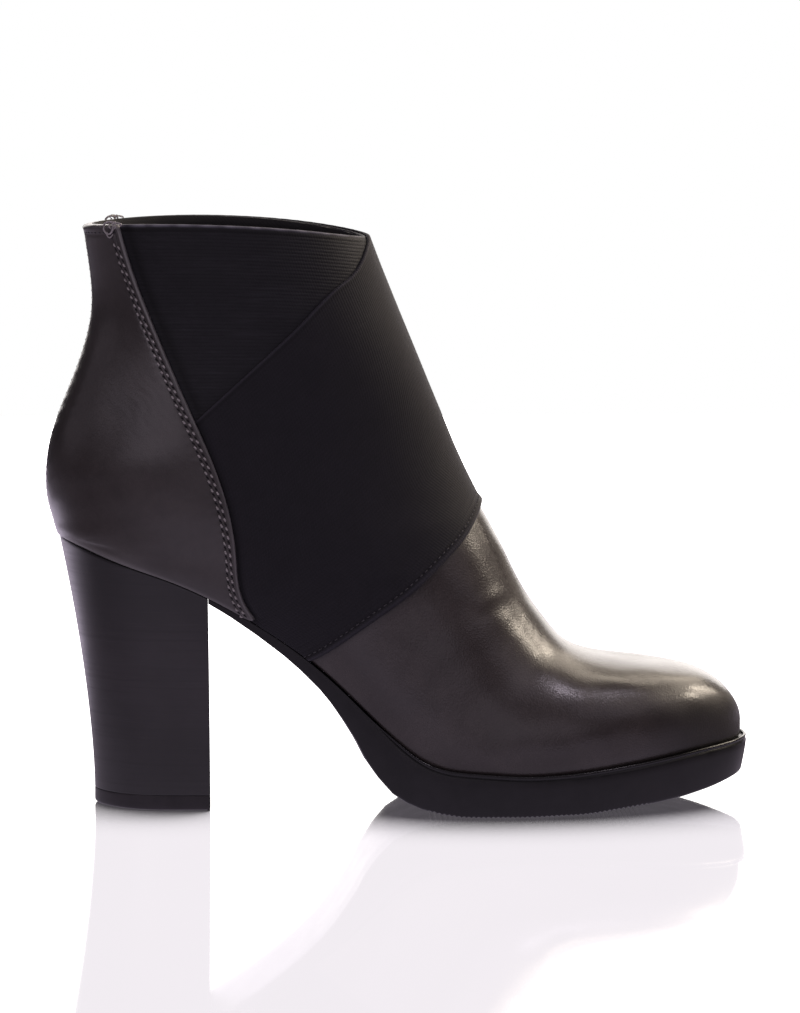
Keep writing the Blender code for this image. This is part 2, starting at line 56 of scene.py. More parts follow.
# ------------------------------------------------------------------ named sizes
COLLAR_ARCH = 3.0
SEAT_ROW = 9
SOLE_LEDGE, WAIST_LEDGE = 2.1, 0.9
LEDGE_FROM, LEDGE_TO = -14.0, 12.0
SOLE_TAPER, SOLE_EDGE = 1.5, 2.2
BREAST_X = -63.4
HEEL_BACK_X, HEEL_FRONT_X = -101.4, -62.9
HEEL_FOOT_HALF = 20.5
HEEL_FLARE_X, HEEL_FLARE_Y = 1.6, 2.7
LIFT_THICK = 5.0
GAP = 0.3
RIB_PITCH = 1.15          # ribs of the elastic
TOOTH_PITCH = 1.6         # teeth along the tread's edge
SEAM_PITCH = 2.35         # stitches of the centre-back seam
EDGE_PITCH = 3.0          # stitches along the counter
STRAP_PITCH = 2.2         # stitches along the strap

SECTION_COLUMNS = ("ridge_x", "ridge_z", "base_x", "base_z", "axis_y", "half_lat",
                   "half_med", "widest", "base_lat", "base_med", "round_ridge")
SECTIONS = (
    (-10.8, 189.0, -102.3, 193.0, 0.0, 29.5, 29.5, 0.48, 0.0, 0.0, 2.15),
    (-7.3, 179.8, -100.3, 179.0, 0.0, 30.7, 30.7, 0.48, 0.0, 0.0, 2.20),
    (-3.3, 169.8, -99.7, 165.0, 0.0, 31.7, 31.7, 0.47, 0.0, 0.0, 2.20),
    (0.9, 159.5, -102.8, 151.0, 0.0, 32.5, 32.5, 0.46, 0.0, 0.0, 2.25),
    (5.1, 149.3, -107.9, 137.5, 0.0, 33.2, 33.2, 0.48, 0.0, 0.0, 2.30),
    (9.2, 139.2, -112.9, 124.5, 0.0, 33.8, 33.8, 0.52, 0.0, 0.0, 2.35),
    (13.0, 130.0, -115.1, 112.5, 0.0, 34.2, 34.2, 0.57, 0.0, 0.0, 2.40),
    (16.3, 121.8, -114.7, 102.0, 0.0, 34.4, 34.4, 0.575, 0.0, 0.0, 2.40),
    (19.2, 115.0, -112.4, 94.0, 0.0, 34.5, 34.5, 0.57, 0.0, 0.0, 2.40),
    (21.9, 109.2, -111.6, 90.0, 0.0, 34.6, 34.6, 0.555, 0.0, 0.0, 2.40),
    (24.9, 103.2, -103.5, 87.0, 0.0, 34.7, 34.7, 0.545, 16.2, 16.2, 2.40),
    (28.2, 97.6, -90.0, 82.2, 0.0, 34.8, 34.6, 0.54, 24.2, 24.2, 2.40),
    (31.7, 91.4, -74.0, 76.6, 0.0, 35.0, 34.4, 0.55, 26.0, 25.8, 2.35),
    (35.2, 84.7, -57.0, 68.4, 0.0, 35.4, 34.2, 0.56, 26.4, 25.2, 2.30),
    (38.7, 77.4, -40.0, 58.0, 0.2, 35.8, 34.0, 0.56, 27.2, 24.4, 2.25),
    (42.2, 70.9, -24.0, 45.8, 0.4, 37.0, 34.3, 0.60, 30.0, 24.6, 2.20),
    (46.2, 64.9, -8.0, 30.6, 0.7, 38.8, 35.2, 0.68, 34.3, 28.0, 2.20),
    (50.8, 58.8, 8.0, 17.8, 1.0, 40.6, 37.0, 0.78, 38.6, 32.8, 2.25),
    (56.2, 53.2, 24.0, 14.5, 1.3, 42.0, 38.8, 0.84, 41.3, 37.2, 2.35),
    (63.2, 49.8, 40.0, 13.5, 1.6, 42.3, 39.8, 0.86, 41.8, 39.3, 2.50),
    (71.5, 48.1, 56.0, 14.0, 1.9, 41.0, 39.6, 0.86, 40.5, 39.2, 2.65),
    (80.5, 46.9, 71.0, 15.6, 2.2, 38.0, 37.9, 0.86, 37.4, 37.3, 2.75),
    (89.5, 45.6, 84.0, 17.2, 2.4, 33.2, 34.1, 0.85, 32.6, 33.5, 2.80),
    (97.5, 44.0, 95.0, 18.7, 2.5, 27.4, 28.7, 0.84, 26.8, 28.1, 2.80),
    (104.3, 41.4, 104.0, 19.7, 2.5, 20.9, 22.0, 0.82, 20.3, 21.4, 2.70),
    (110.2, 37.0, 110.3, 20.2, 2.5, 14.4, 15.2, 0.80, 14.0, 14.8, 2.50),
    (114.2, 31.2, 114.1, 20.5, 2.5, 7.4, 7.8, 0.72, 7.2, 7.6, 2.20),
    (115.5, 25.5, 115.4, 20.6, 2.5, 0.0, 0.0, 0.62, 0.0, 0.0, 2.00),
)
TIP_ROW = len(SECTIONS) - 1

COUNTER_EDGE = (  # z, x
    (62.6, -45.9), (70.5, -51.1), (86.7, -54.1), (110.8, -59.3), (136.8, -70.1),
    (159.4, -79.7), (178.6, -87.0), (196.0, -92.0))
STRAP_TOP_EDGE = (  # x, z; lateral side only
    (-75.0, 123.0), (-66.0, 131.5), (-44.2, 151.5), (-32.0, 163.0), (-20.0, 174.3),
    (-12.8, 182.0), (-9.6, 190.0))
VAMP_EDGE = (  # x, z
    (-31.0, 50.4), (-26.6, 52.8), (-17.7, 58.9), (-6.8, 66.7), (5.2, 75.5),
    (14.0, 83.6), (23.0, 93.3), (27.7, 101.0))
SOLE_BOTTOM = (  # x, z
    (-63.4, 69.9), (-56.4, 65.6), (-47.5, 59.3), (-39.2, 52.8), (-33.2, 47.4),
    (-27.3, 41.4), (-22.9, 35.9), (-19.0, 30.1), (-15.5, 24.4), (-12.6, 18.6),
    (-8.1, 12.2), (-3.7, 7.4), (1.0, 4.6), (5.8, 2.7), (12.0, 1.0), (19.0, 0.1),
    (24.0, 0.0), (58.0, 0.0), (65.0, 0.5), (75.6, 1.9), (84.7, 3.0), (94.5, 4.2),
    (104.4, 6.0), (112.3, 7.8), (118.0, 8.9))

# Creases of the vamp: side view x, z of the line's points, half width,
# height (negative is a trough), and the sides that have it (-1 lateral, 1 medial).
CREASES = (
    ("fold over the joint", ((21.0, 69.4), (29.0, 70.8), (38.0, 73.8)), 2.8, 0.20, (-1, 1)),
    ("crease under the fold", ((20.0, 65.6), (28.0, 66.8), (37.0, 69.4)), 2.8, -0.10, (-1, 1)),
    ("swell below the fold", ((36.0, 63.5), (42.0, 58.0), (49.0, 53.0)), 6.0, 0.20, (-1, 1)),
    ("hollow beside the toe", ((60.0, 38.0), (72.0, 36.0), (84.0, 35.5)), 7.0, -0.12, (-1, 1)),
    ("pull towards the strap", ((2.0, 62.0), (12.0, 64.0), (21.0, 66.5)), 6.0, -0.08, (-1, 1)),
    ("swell over the joint", ((42.0, 40.6), (52.0, 39.8), (62.0, 38.8)), 7.5, 0.14, (-1, 1)),
)

# Where the vamp's finish is duller or brighter, in the same way.
FINISH = (
    ("rubbed below the shoulder", ((55.5, 38.7), (70.0, 37.2), (86.0, 36.1), (98.0, 34.0)), 4.0, 0.16, (-1, 1)),
    ("polished joint", ((45.0, 41.2), (51.5, 40.2), (58.0, 39.0)), 4.6, -0.08, (-1, 1)),
    ("polished toe", ((82.0, 43.0), (91.0, 41.6), (100.0, 38.0)), 5.0, -0.11, (-1, 1)),
)


# ------------------------------------------------------------------------ curves
def cubic(values, first, last):
    """Natural cubic through evenly spaced values, as a function of the index. first and
    last say how the values go on past the ends: 'free', 'even' or 'odd'."""
    v = np.array(values, float)

    def beyond(end, inner, kind):
        return {"free": 2 * end - inner, "even": inner, "odd": 2 * end - inner}[kind]

    v = np.concatenate([[beyond(v[0], v[1], first)], v, [beyond(v[-1], v[-2], last)]])
    n = len(v)
    matrix, right = np.eye(n), np.zeros(n)
    for i in range(1, n - 1):
        matrix[i, i - 1:i + 2] = 1.0, 4.0, 1.0
        right[i] = 6.0 * (v[i - 1] - 2.0 * v[i] + v[i + 1])
    bend = np.linalg.solve(matrix, right)

    def at(s):
        t = np.clip(np.asarray(s, float) + 1.0, 0.0, n - 1.0)
        i = np.minimum(t.astype(int), n - 2)
        b = t - i
        a = 1.0 - b
        return (a * v[i] + b * v[i + 1]
                + ((a ** 3 - a) * bend[i] + (b ** 3 - b) * bend[i + 1]) / 6.0)
    return at


def spline(xs, ys):
    """Natural cubic through points with rising xs, straight past the ends."""
    xs, ys = np.array(xs, float), np.array(ys, float)
    n, h = len(xs), np.diff(xs)
    matrix, right = np.eye(n), np.zeros(n)
    for i in range(1, n - 1):
        matrix[i, i - 1:i + 2] = h[i - 1], 2 * (h[i - 1] + h[i]), h[i]
        right[i] = 6 * ((ys[i + 1] - ys[i]) / h[i] - (ys[i] - ys[i - 1]) / h[i - 1])
    m = np.linalg.solve(matrix, right)
    first = (ys[1] - ys[0]) / h[0] - h[0] * m[1] / 6
    last = (ys[-1] - ys[-2]) / h[-1] + h[-1] * m[-2] / 6

    def at(x):
        x = np.asarray(x, float)
        i = np.clip(np.searchsorted(xs, x) - 1, 0, n - 2)
        a, b = (xs[i + 1] - x) / h[i], (x - xs[i]) / h[i]
        y = a * ys[i] + b * ys[i + 1] + ((a ** 3 - a) * m[i] + (b ** 3 - b) * m[i + 1]) * h[i] ** 2 / 6
        y = np.where(x < xs[0], ys[0] + first * (x - xs[0]), y)
        return np.where(x > xs[-1], ys[-1] + last * (x - xs[-1]), y)
    return at


def ease(u):
    u = np.clip(u, 0.0, 1.0)
    return u * u * (3 - 2 * u)


# ---------------------------------------------------------------------- the last
def column(name):
    return [row[SECTION_COLUMNS.index(name)] for row in SECTIONS]


SMOOTH = {name: cubic(column(name), "free", "even" if name == "ridge_x" else "free")
          for name in ("ridge_x", "ridge_z", "axis_y", "half_lat", "half_med",
                       "widest", "round_ridge")}
BACK = {name: cubic(column(name)[:SEAT_ROW + 1], "free", "even") for name in ("base_x", "base_z")}
FEATHER = {name: cubic(column(name)[SEAT_ROW:], *(("even",) * 2 if name in ("base_x", "base_z") else ("odd",) * 2))
           for name in ("base_x", "base_z", "base_lat", "base_med")}


def base_point(s):
    if s <= SEAT_ROW:
        return float(BACK["base_x"](s)), float(BACK["base_z"](s))
    return float(FEATHER["base_x"](s - SEAT_ROW)), float(FEATHER["base_z"](s - SEAT_ROW))


def base_half(s, side):
    if s <= SEAT_ROW:
        return 0.0
    return max(float(FEATHER["base_lat" if side < 0 else "base_med"](s - SEAT_ROW)), 0.0)


DENSE = 260


def half_section(s, side):
    """Points of one half of section s, from the ridge to the base."""
    top = np.array([SMOOTH["ridge_x"](s), SMOOTH["ridge_z"](s)])
    base = np.array(base_point(s))
    half = max(float(SMOOTH["half_lat" if side < 0 else "half_med"](s)), 0.0)
    end = min(base_half(s, side), half)
    widest, power = float(SMOOTH["widest"](s)), float(SMOOTH["round_ridge"](s))
    turn = np.linspace(0.0, math.pi / 2, DENSE)
    cosine = np.maximum(np.cos(turn), 0.0)
    down_a = widest * (1.0 - cosine ** (2.0 / power))
    out_a = half * np.sin(turn) ** (2.0 / power)
    tuck = 1.0 - (end / half) ** 2 if half > 1e-6 else 0.0
    low = np.sin(np.linspace(0.0, math.pi / 2, DENSE))[1:]
    down = np.concatenate([down_a, widest + (1.0 - widest) * low])
    out = np.concatenate([out_a, half * np.sqrt(np.maximum(1.0 - tuck * low ** 2, 0.0))])
    points = np.empty((len(down), 3))
    points[:, 0] = top[0] + (base[0] - top[0]) * down
    points[:, 2] = top[1] + (base[1] - top[1]) * down
    points[:, 1] = float(SMOOTH["axis_y"](s)) + side * out
    rise = COLLAR_ARCH * max(0.0, 1.0 - s / 3.0) ** 2
    points[:, 2] += rise * (out / max(half, 1e-6)) ** 2
    return points


def lengths(points):
    return np.concatenate([[0.0], np.cumsum(np.linalg.norm(np.diff(points, axis=0), axis=1))])


def along(points, shares):
    run = lengths(points)
    if run[-1] < 1e-9:
        return np.repeat(points[:1], len(shares), axis=0)
    want = np.asarray(shares) * run[-1]
    return np.stack([np.interp(want, run, points[:, k]) for k in range(3)], axis=1)


ROW_STEP, ACROSS = 0.02, 320
ROWS = np.arange(0, int(round(TIP_ROW / ROW_STEP)) + 1) * ROW_STEP
SHARES = np.linspace(0.0, 1.0, ACROSS + 1)
TABLE = np.empty((len(ROWS), 2 * ACROSS + 1, 3))
RUN = {-1: np.empty(len(ROWS)), 1: np.empty(len(ROWS))}     # length of each half section
for _i, _s in enumerate(ROWS):
    for _side in (-1, 1):
        _line = half_section(min(_s, TIP_ROW - 1e-4), _side)
        RUN[_side][_i] = lengths(_line)[-1]
        _spots = along(_line, SHARES)
        if _side < 0:
            TABLE[_i, :ACROSS + 1] = _spots[::-1]
        else:
            TABLE[_i, ACROSS:] = _spots


def soften_seat():
    """Rounds the turn below the heel cup, where the sections go over from the back seam to
    the feather line. The seam and the line stay."""
    width = int(round(0.9 / ROW_STEP))
    steps = np.arange(-3 * width, 3 * width + 1)
    weights = np.exp(-0.5 * (steps / width) ** 2)
    weights /= weights.sum()
    low, high = int(round(5.0 / ROW_STEP)), int(round(13.5 / ROW_STEP))
    smooth = sum(w * TABLE[low + k:high + k] for k, w in zip(steps, weights))
    near = np.exp(-((ROWS[low:high] - 9.2) / 1.7) ** 2)
    inside = 1.0 - ease((np.abs(np.linspace(-1.0, 1.0, 2 * ACROSS + 1)) - 0.84) / 0.15)
    TABLE[low:high] += (near[:, None] * inside[None])[..., None] * (smooth - TABLE[low:high])


soften_seat()


def make_normals():
    step = 6
    ahead = np.clip(np.arange(len(ROWS)) + step, 0, len(ROWS) - 1)
    behind = np.clip(np.arange(len(ROWS)) - step, 0, len(ROWS) - 1)
    run = TABLE[ahead] - TABLE[behind]
    across = np.gradient(TABLE, axis=1)
    n = np.cross(run, across)
    n[:, ACROSS, 1] = 0.0
    seam = ROWS <= SEAT_ROW + 1e-9
    n[seam, 0, 1] = n[seam, -1, 1] = 0.0
    edge = int(round(0.025 * ACROSS))
    late = np.where(ROWS > SEAT_ROW - 0.6)[0]
    n[late, :edge] = n[late, edge][:, None]
    n[late, -edge:] = n[late, -edge - 1][:, None]
    n[np.intersect1d(late, np.where(seam)[0])[:, None], [0, -1], 1] = 0.0
    size = np.linalg.norm(n, axis=2, keepdims=True)
    n = n / np.maximum(size, 1e-12)
    if n[200, ACROSS // 2, 1] > 0:      # the lateral half faces -Y
        n = -n
    return n


NORMALS = make_normals()


def sample(table, s, c):
    s, c = np.broadcast_arrays(np.asarray(s, float), np.asarray(c, float))
    i = np.clip(s / ROW_STEP, 0, len(ROWS) - 1.0001)
    j = np.clip((c + 1.0) * ACROSS, 0, 2 * ACROSS - 0.0001)
    i0, j0 = i.astype(int), j.astype(int)
    a, b = (i - i0)[..., None], (j - j0)[..., None]
    return ((table[i0, j0] * (1 - a) + table[i0 + 1, j0] * a) * (1 - b)
            + (table[i0, j0 + 1] * (1 - a) + table[i0 + 1, j0 + 1] * a) * b)


def spot(s, c):
    return sample(TABLE, s, c)


def facing(s, c):
    n = sample(NORMALS, s, c)
    return n / np.maximum(np.linalg.norm(n, axis=-1, keepdims=True), 1e-12)


def run_at(s, side):
    return np.interp(s, ROWS, RUN[side])


FEATHER_S = np.linspace(SEAT_ROW, TIP_ROW, 1500)
FEATHER_X = np.array([base_point(s)[0] for s in FEATHER_S])
FEATHER_Z = np.array([base_point(s)[1] for s in FEATHER_S])


def feather_z(x):
    return np.interp(x, FEATHER_X, FEATHER_Z)


def row_at(x):
    return float(np.interp(x, FEATHER_X, FEATHER_S))


counter_x = spline(*zip(*COUNTER_EDGE))
strap_top_z = spline(*zip(*STRAP_TOP_EDGE))
vamp_z = spline(*zip(*VAMP_EDGE))
sole_bottom = spline(*zip(*SOLE_BOTTOM))


def first_crossing(values, places):
    """Per row of values, the place where they first turn from negative to positive."""
    found = np.full(len(values), places[-1])
    up = (values[:, :-1] < 0) & (values[:, 1:] >= 0)
    has = up.any(axis=1)
    k = up.argmax(axis=1)
    rows = np.arange(len(values))
    a, b = values[rows, k], values[rows, k + 1]
    f = np.where(has, a / np.where(np.abs(a - b) < 1e-12, 1.0, a - b), 0.0)
    found[has] = (places[k] + f * (places[k + 1] - places[k]))[has]
    return found


COUNTER_SHARE = {}
for _side in (-1, 1):
    _half = TABLE[:, ACROSS::-1] if _side < 0 else TABLE[:, ACROSS:]
    COUNTER_SHARE[_side] = first_crossing(counter_x(_half[..., 2]) - _half[..., 0], SHARES)


def counter_share(s, side):
    return np.interp(s, ROWS, COUNTER_SHARE[side])


# -------------------------------------------------------------------- mesh tools
def put(points):
    return (np.asarray(points, float) + SHIFT) * MM


def grid_faces(rows, cols, start=0, closed=False):
    i, j = np.meshgrid(np.arange(rows - 1), np.arange(cols if closed else cols - 1), indexing="ij")
    k = (j + 1) % cols
    quads = np.stack([start + i * cols + j, start + i * cols + k,
                      start + (i + 1) * cols + k, start + (i + 1) * cols + j], axis=-1)
    return quads.reshape(-1, 4).tolist()


def make(name, points, faces, look, layers=None, weld=0.0, outward=True, replaces=(), sharp=None):
    """A piece from points in millimetres. layers are numbers for each point that its
    material reads."""
    mesh = bpy.data.meshes.new(name)
    mesh.from_pydata(put(points), [], faces)
    for key, values in (layers or {}).items():
        layer = mesh.attributes.new(key, "FLOAT", "POINT")
        layer.data.foreach_set("value", np.asarray(values, np.float32).ravel())
    bm = bmesh.new()
    bm.from_mesh(mesh)
    if weld:
        bmesh.ops.remove_doubles(bm, verts=bm.verts, dist=weld * MM)
        bmesh.ops.dissolve_degenerate(bm, edges=bm.edges, dist=weld * MM * 0.5)
    if outward:
        bmesh.ops.recalc_face_normals(bm, faces=bm.faces)
    bm.to_mesh(mesh)
    bm.free()
    mesh.shade_smooth()
    if sharp:
        mesh.set_sharp_from_angle(angle=math.radians(sharp))
    mesh.materials.append(look)
    piece = bpy.data.objects.new(name, mesh)
    bpy.context.scene.collection.objects.link(piece)
    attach(piece, "root")
    if replaces:
        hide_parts(*replaces)
    return piece


def picks(count, every):
    chosen = list(range(0, count, every))
    if chosen[-1] != count - 1:
        chosen.append(count - 1)
    return chosen


def sheet_solid(outer, inner, every=(4, 4)):
    """Points and faces of a closed sheet. outer and inner are grids of the same shape;
    the inner side keeps only every so many rows and columns."""
    rows, cols = outer.shape[:2]
    pr, pc = picks(rows, every[0]), picks(cols, every[1])
    inside = inner[np.ix_(pr, pc)]
    points = np.concatenate([outer.reshape(-1, 3), inside.reshape(-1, 3)])
    faces = grid_faces(rows, cols)
    start, wide = rows * cols, len(pc)
    faces += [q[::-1] for q in grid_faces(len(pr), wide, start)]
    for i, a in ((0, 0), (rows - 1, len(pr) - 1)):
        for b in range(wide - 1):
            strip = [i * cols + j for j in range(pc[b], pc[b + 1] + 1)]
            strip += [start + a * wide + b + 1, start + a * wide + b]
            faces.append(strip if i else strip[::-1])
    for j, b in ((0, 0), (cols - 1, wide - 1)):
        for a in range(len(pr) - 1):
            strip = [i * cols + j for i in range(pr[a], pr[a + 1] + 1)]
            strip += [start + (a + 1) * wide + b, start + a * wide + b]
            faces.append(strip[::-1] if j else strip)
    index = np.concatenate([np.arange(rows * cols),
                            (np.array(pr)[:, None] * cols + np.array(pc)[None]).ravel()])
    return points, faces, index


def away(points, line):
    """Distance of each point of a grid from a line of close points."""
    tree = KDTree(len(line))
    for k, p in enumerate(line):
        tree.insert(p, k)
    tree.balance()
    flat = points.reshape(-1, 3)
    return np.array([tree.find(p)[2] for p in flat]).reshape(points.shape[:-1])


def refine(line, step=0.15):
    run = lengths(line)
    count = max(int(run[-1] / step), 2)
    want = np.linspace(0, run[-1], count)
    return np.stack([np.interp(want, run, line[:, k]) for k in range(3)], axis=1)


def spaced_rows(points, step):
    """Places along a polyline's index, about step millimetres apart."""
    run = lengths(points)
    count = max(int(round(run[-1] / step)), 2)
    return np.interp(np.linspace(0, run[-1], count + 1), run, np.arange(len(points)))


def rounded(d, radius):
    """0 at an edge, 1 from radius on, along a quarter circle."""
    return np.sqrt(np.clip(1.0 - (1.0 - np.clip(d / radius, 0.0, 1.0)) ** 2, 0.0, 1.0))


def bell(d, middle, width):
    return np.exp(-((d - middle) / width) ** 2)


def tree_of(outer):
    """A surface to lay stitches on, from a grid of points in millimetres."""
    rows, cols = outer.shape[:2]
    return BVHTree.FromPolygons([Vector(p) for p in outer.reshape(-1, 3)], grid_faces(rows, cols))


# -------------------------------------------------------------------- materials
class Look:
    """A procedural material. Lengths in its textures are millimetres."""

    def __init__(self, name, **values):
        self.made = bpy.data.materials.new(name)
        self.made.use_nodes = True
        self.tree = self.made.node_tree
        self.shader = self.tree.nodes["Principled BSDF"]
        for key, value in values.items():
            self.shader.inputs[key.replace("_", " ").title().replace("Ior", "IOR")].default_value = value
        coords = self.tree.nodes.new("ShaderNodeTexCoord")
        scale = self.add("ShaderNodeVectorMath", operation="SCALE")
        scale.inputs["Scale"].default_value = 1000.0
        self.link(coords.outputs["Object"], scale.inputs[0])
        self.mm = scale.outputs[0]

    def add(self, kind, **settings):
        node = self.tree.nodes.new(kind)
        for key, value in settings.items():
            setattr(node, key, value)
        return node

    def link(self, a, b):
        self.tree.links.new(a, b)

    def noise(self, size, detail=2.0, rough=0.5, vector=None, stretch=None, distortion=0.0):
        node = self.add("ShaderNodeTexNoise")
        node.inputs["Scale"].default_value = 1.0 / size
        node.inputs["Detail"].default_value = detail
        node.inputs["Roughness"].default_value = rough
        node.inputs["Distortion"].default_value = distortion
        source = vector or self.mm
        if stretch:
            move = self.add("ShaderNodeMapping")
            move.inputs["Scale"].default_value = stretch
            self.link(source, move.inputs["Vector"])
            source = move.outputs[0]
        self.link(source, node.inputs["Vector"])
        return node.outputs["Fac"]

    def cells(self, size, feature="F1", smooth=0.4, vector=None):
        node = self.add("ShaderNodeTexVoronoi", feature=feature)
        node.inputs["Scale"].default_value = 1.0 / size
        if "Smoothness" in node.inputs:
            node.inputs["Smoothness"].default_value = smooth
        self.link(vector or self.mm, node.inputs["Vector"])
        return node.outputs["Distance"]

    def layer(self, name):
        return self.add("ShaderNodeAttribute", attribute_name=name).outputs["Fac"]

    def math(self, operation, a, b=0.0, clamp=False):
        node = self.add("ShaderNodeMath", operation=operation, use_clamp=clamp)
        for k, value in enumerate((a, b)):
            if isinstance(value, (int, float)):
                node.inputs[k].default_value = value
            else:
                self.link(value, node.inputs[k])
        return node.outputs[0]

    def span(self, value, low, high, to_low, to_high):
        node = self.add("ShaderNodeMapRange")
        for key, x in (("From Min", low), ("From Max", high), ("To Min", to_low), ("To Max", to_high)):
            node.inputs[key].default_value = x
        self.link(value, node.inputs["Value"])
        return node.outputs["Result"]

    def mix(self, share, a, b, blend="MIX"):
        node = self.add("ShaderNodeMix", data_type="RGBA", blend_type=blend)
        if isinstance(share, (int, float)):
            node.inputs["Factor"].default_value = share
        else:
            self.link(share, node.inputs["Factor"])
        for key, value in ((6, a), (7, b)):
            if isinstance(value, tuple):
                node.inputs[key].default_value = (*value, 1.0)
            else:
                self.link(value, node.inputs[key])
        return node.outputs[2]

    def colour(self, value):
        self.link(value, self.shader.inputs["Base Color"])

    def roughness(self, value):
        self.link(value, self.shader.inputs["Roughness"])

    def bump(self, *heights):
        """heights are (value, depth in millimetres), added one on the other."""
        before = None
        for value, depth in heights:
            node = self.add("ShaderNodeBump")
            node.inputs["Strength"].default_value = 1.0
            node.inputs["Distance"].default_value = depth * MM
            self.link(value, node.inputs["Height"])
            if before:
                self.link(before, node.inputs["Normal"])
            before = node.outputs["Normal"]
        self.link(before, self.shader.inputs["Normal"])
        if "Coat Normal" in self.shader.inputs:
            self.link(before, self.shader.inputs["Coat Normal"])


def leather(name, light, dark, rough, coat, grain):
    look = Look(name, specular_ior_level=0.5, coat_weight=coat, coat_roughness=0.15, coat_ior=1.5)
    clouds = look.noise(16.0, 3.0, 0.55)
    pores = look.cells(0.62, "SMOOTH_F1", 0.35)
    fine = look.noise(0.22, 3.0, 0.6)
    veins = look.noise(2.6, 4.0, 0.62, distortion=0.6)
    base = look.mix(look.span(clouds, 0.35, 0.65, 0.0, 1.0), dark, light)
    base = look.mix(look.span(veins, 0.42, 0.62, 0.0, 0.22), base, tuple(0.72 * x for x in dark))
    base = look.mix(look.span(fine, 0.3, 0.7, 0.12, 0.0), base, tuple(0.45 * x for x in dark))
    # Painted highlight and pale edges: the colour goes much lighter where the edge layer is set, partly for the
    # leather's paler cut edges and partly as painted highlight
    base = look.mix(look.math("MULTIPLY", look.layer("pale_edge_and_highlight"), 0.75), base, tuple(4.6 * light[1] * x for x in (1.05, 1.0, 1.0)))
    # Painted shade: darker where the shade layer is set, in furrows, along seams, at joins with other parts and on the
    # lower toe; the finish is rougher there too
    base = look.mix(look.math("MULTIPLY", look.layer("painted_shade"), 0.8), base, tuple(0.25 * x for x in dark))
    look.colour(base)
    gloss = look.span(clouds, 0.3, 0.7, rough - 0.035, rough + 0.035)
    gloss = look.math("ADD", gloss, look.span(fine, 0.3, 0.7, -0.03, 0.03))
    gloss = look.math("ADD", gloss, look.layer("dull"))
    gloss = look.math("ADD", gloss, look.math("MULTIPLY", look.layer("painted_shade"), 0.25), clamp=True)
    look.roughness(gloss)
    look.bump((pores, grain), (fine, 0.012), (veins, 0.024))
    return look.made


def elastic(name, crest, deep, rough, yarns, streaks):
    """Ribbed webbing: rib is 0 between ribs and 1 on a crest, and warp runs along the ribs in
    millimetres; the darker colour between ribs is painted shade. yarns is how much the yarns across the
    ribs show, streaks how much single ribs stand out."""
    look = Look(name, specular_ior_level=0.20, sheen_weight=0.09, sheen_roughness=0.45,
                sheen_tint=(0.55, 0.55, 0.62, 1.0))
    rib, warp = look.layer("rib"), look.layer("warp")
    yarn = look.math("SINE", look.math("MULTIPLY", warp, 2 * math.pi / 0.95))
    lines = look.noise(1.1, 3.0, 0.7, stretch=(0.05, 0.05, 1.0))
    fibre = look.noise(0.16, 3.0, 0.65)
    patch = look.noise(9.0, 2.0, 0.5)
    # Painted shade: the colour between the ribs is the darker one
    base = look.mix(look.span(rib, 0.0, 1.0, 0.0, 1.0), deep, crest)
    base = look.mix(look.span(fibre, 0.38, 0.72, 0.0, 0.65), base, tuple(2.2 * x for x in crest))
    base = look.mix(look.span(yarn, 0.3, 1.0, 0.0, yarns), base, deep)
    base = look.mix(look.span(lines, 0.52, 0.68, 0.0, streaks), base, tuple(2.0 * x for x in crest))
    base = look.mix(look.span(patch, 0.35, 0.65, 0.0, 0.25), base, deep)
    # Painted highlight: up to 18 times lighter on the folded edges and the collar rim, standing in for light caught
    # there
    base = look.mix(look.math("MULTIPLY", look.layer("pale_edge_and_highlight"), 0.8), base, tuple(18.0 * x for x in crest))
    # Painted shade: darker along the counters' edges, under the rim and in the stitch line
    base = look.mix(look.math("MULTIPLY", look.layer("painted_shade"), 0.7), base, tuple(0.3 * x for x in deep))
    look.colour(base)
    look.roughness(look.span(fibre, 0.2, 0.8, rough - 0.08, rough + 0.08))
    look.bump((yarn, 0.07 * yarns), (fibre, 0.045))
    return look.made


def rubber(name, colour, rough):
    look = Look(name, specular_ior_level=0.30, coat_weight=0.05, coat_roughness=0.14)
    fine = look.noise(0.35, 3.0, 0.6)
    clouds = look.noise(7.0, 3.0, 0.55)
    base = look.mix(look.span(clouds, 0.35, 0.65, 0.0, 1.0), tuple(0.78 * x for x in colour), tuple(1.2 * x for x in colour))
    # Painted shade: darker in the crevices and notches where the shade layer is set
    base = look.mix(look.math("MULTIPLY", look.layer("painted_shade"), 0.8), base, tuple(0.3 * x for x in colour))
    # Up to three times lighter where the edge layer is set; only the lift has it, lighter towards its ground edge
    base = look.mix(look.math("MULTIPLY", look.layer("pale_edge_and_highlight"), 0.5), base, tuple(3.0 * x for x in colour))
    look.colour(base)
    gloss = look.math("ADD", look.span(clouds, 0.3, 0.7, rough - 0.05, rough + 0.05),
                      look.span(fine, 0.3, 0.7, -0.03, 0.03))
    look.roughness(look.math("SUBTRACT", gloss, look.math("MULTIPLY", look.layer("lip"), 0.16), clamp=True))
    look.bump((fine, 0.012), (clouds, 0.03))
    return look.made


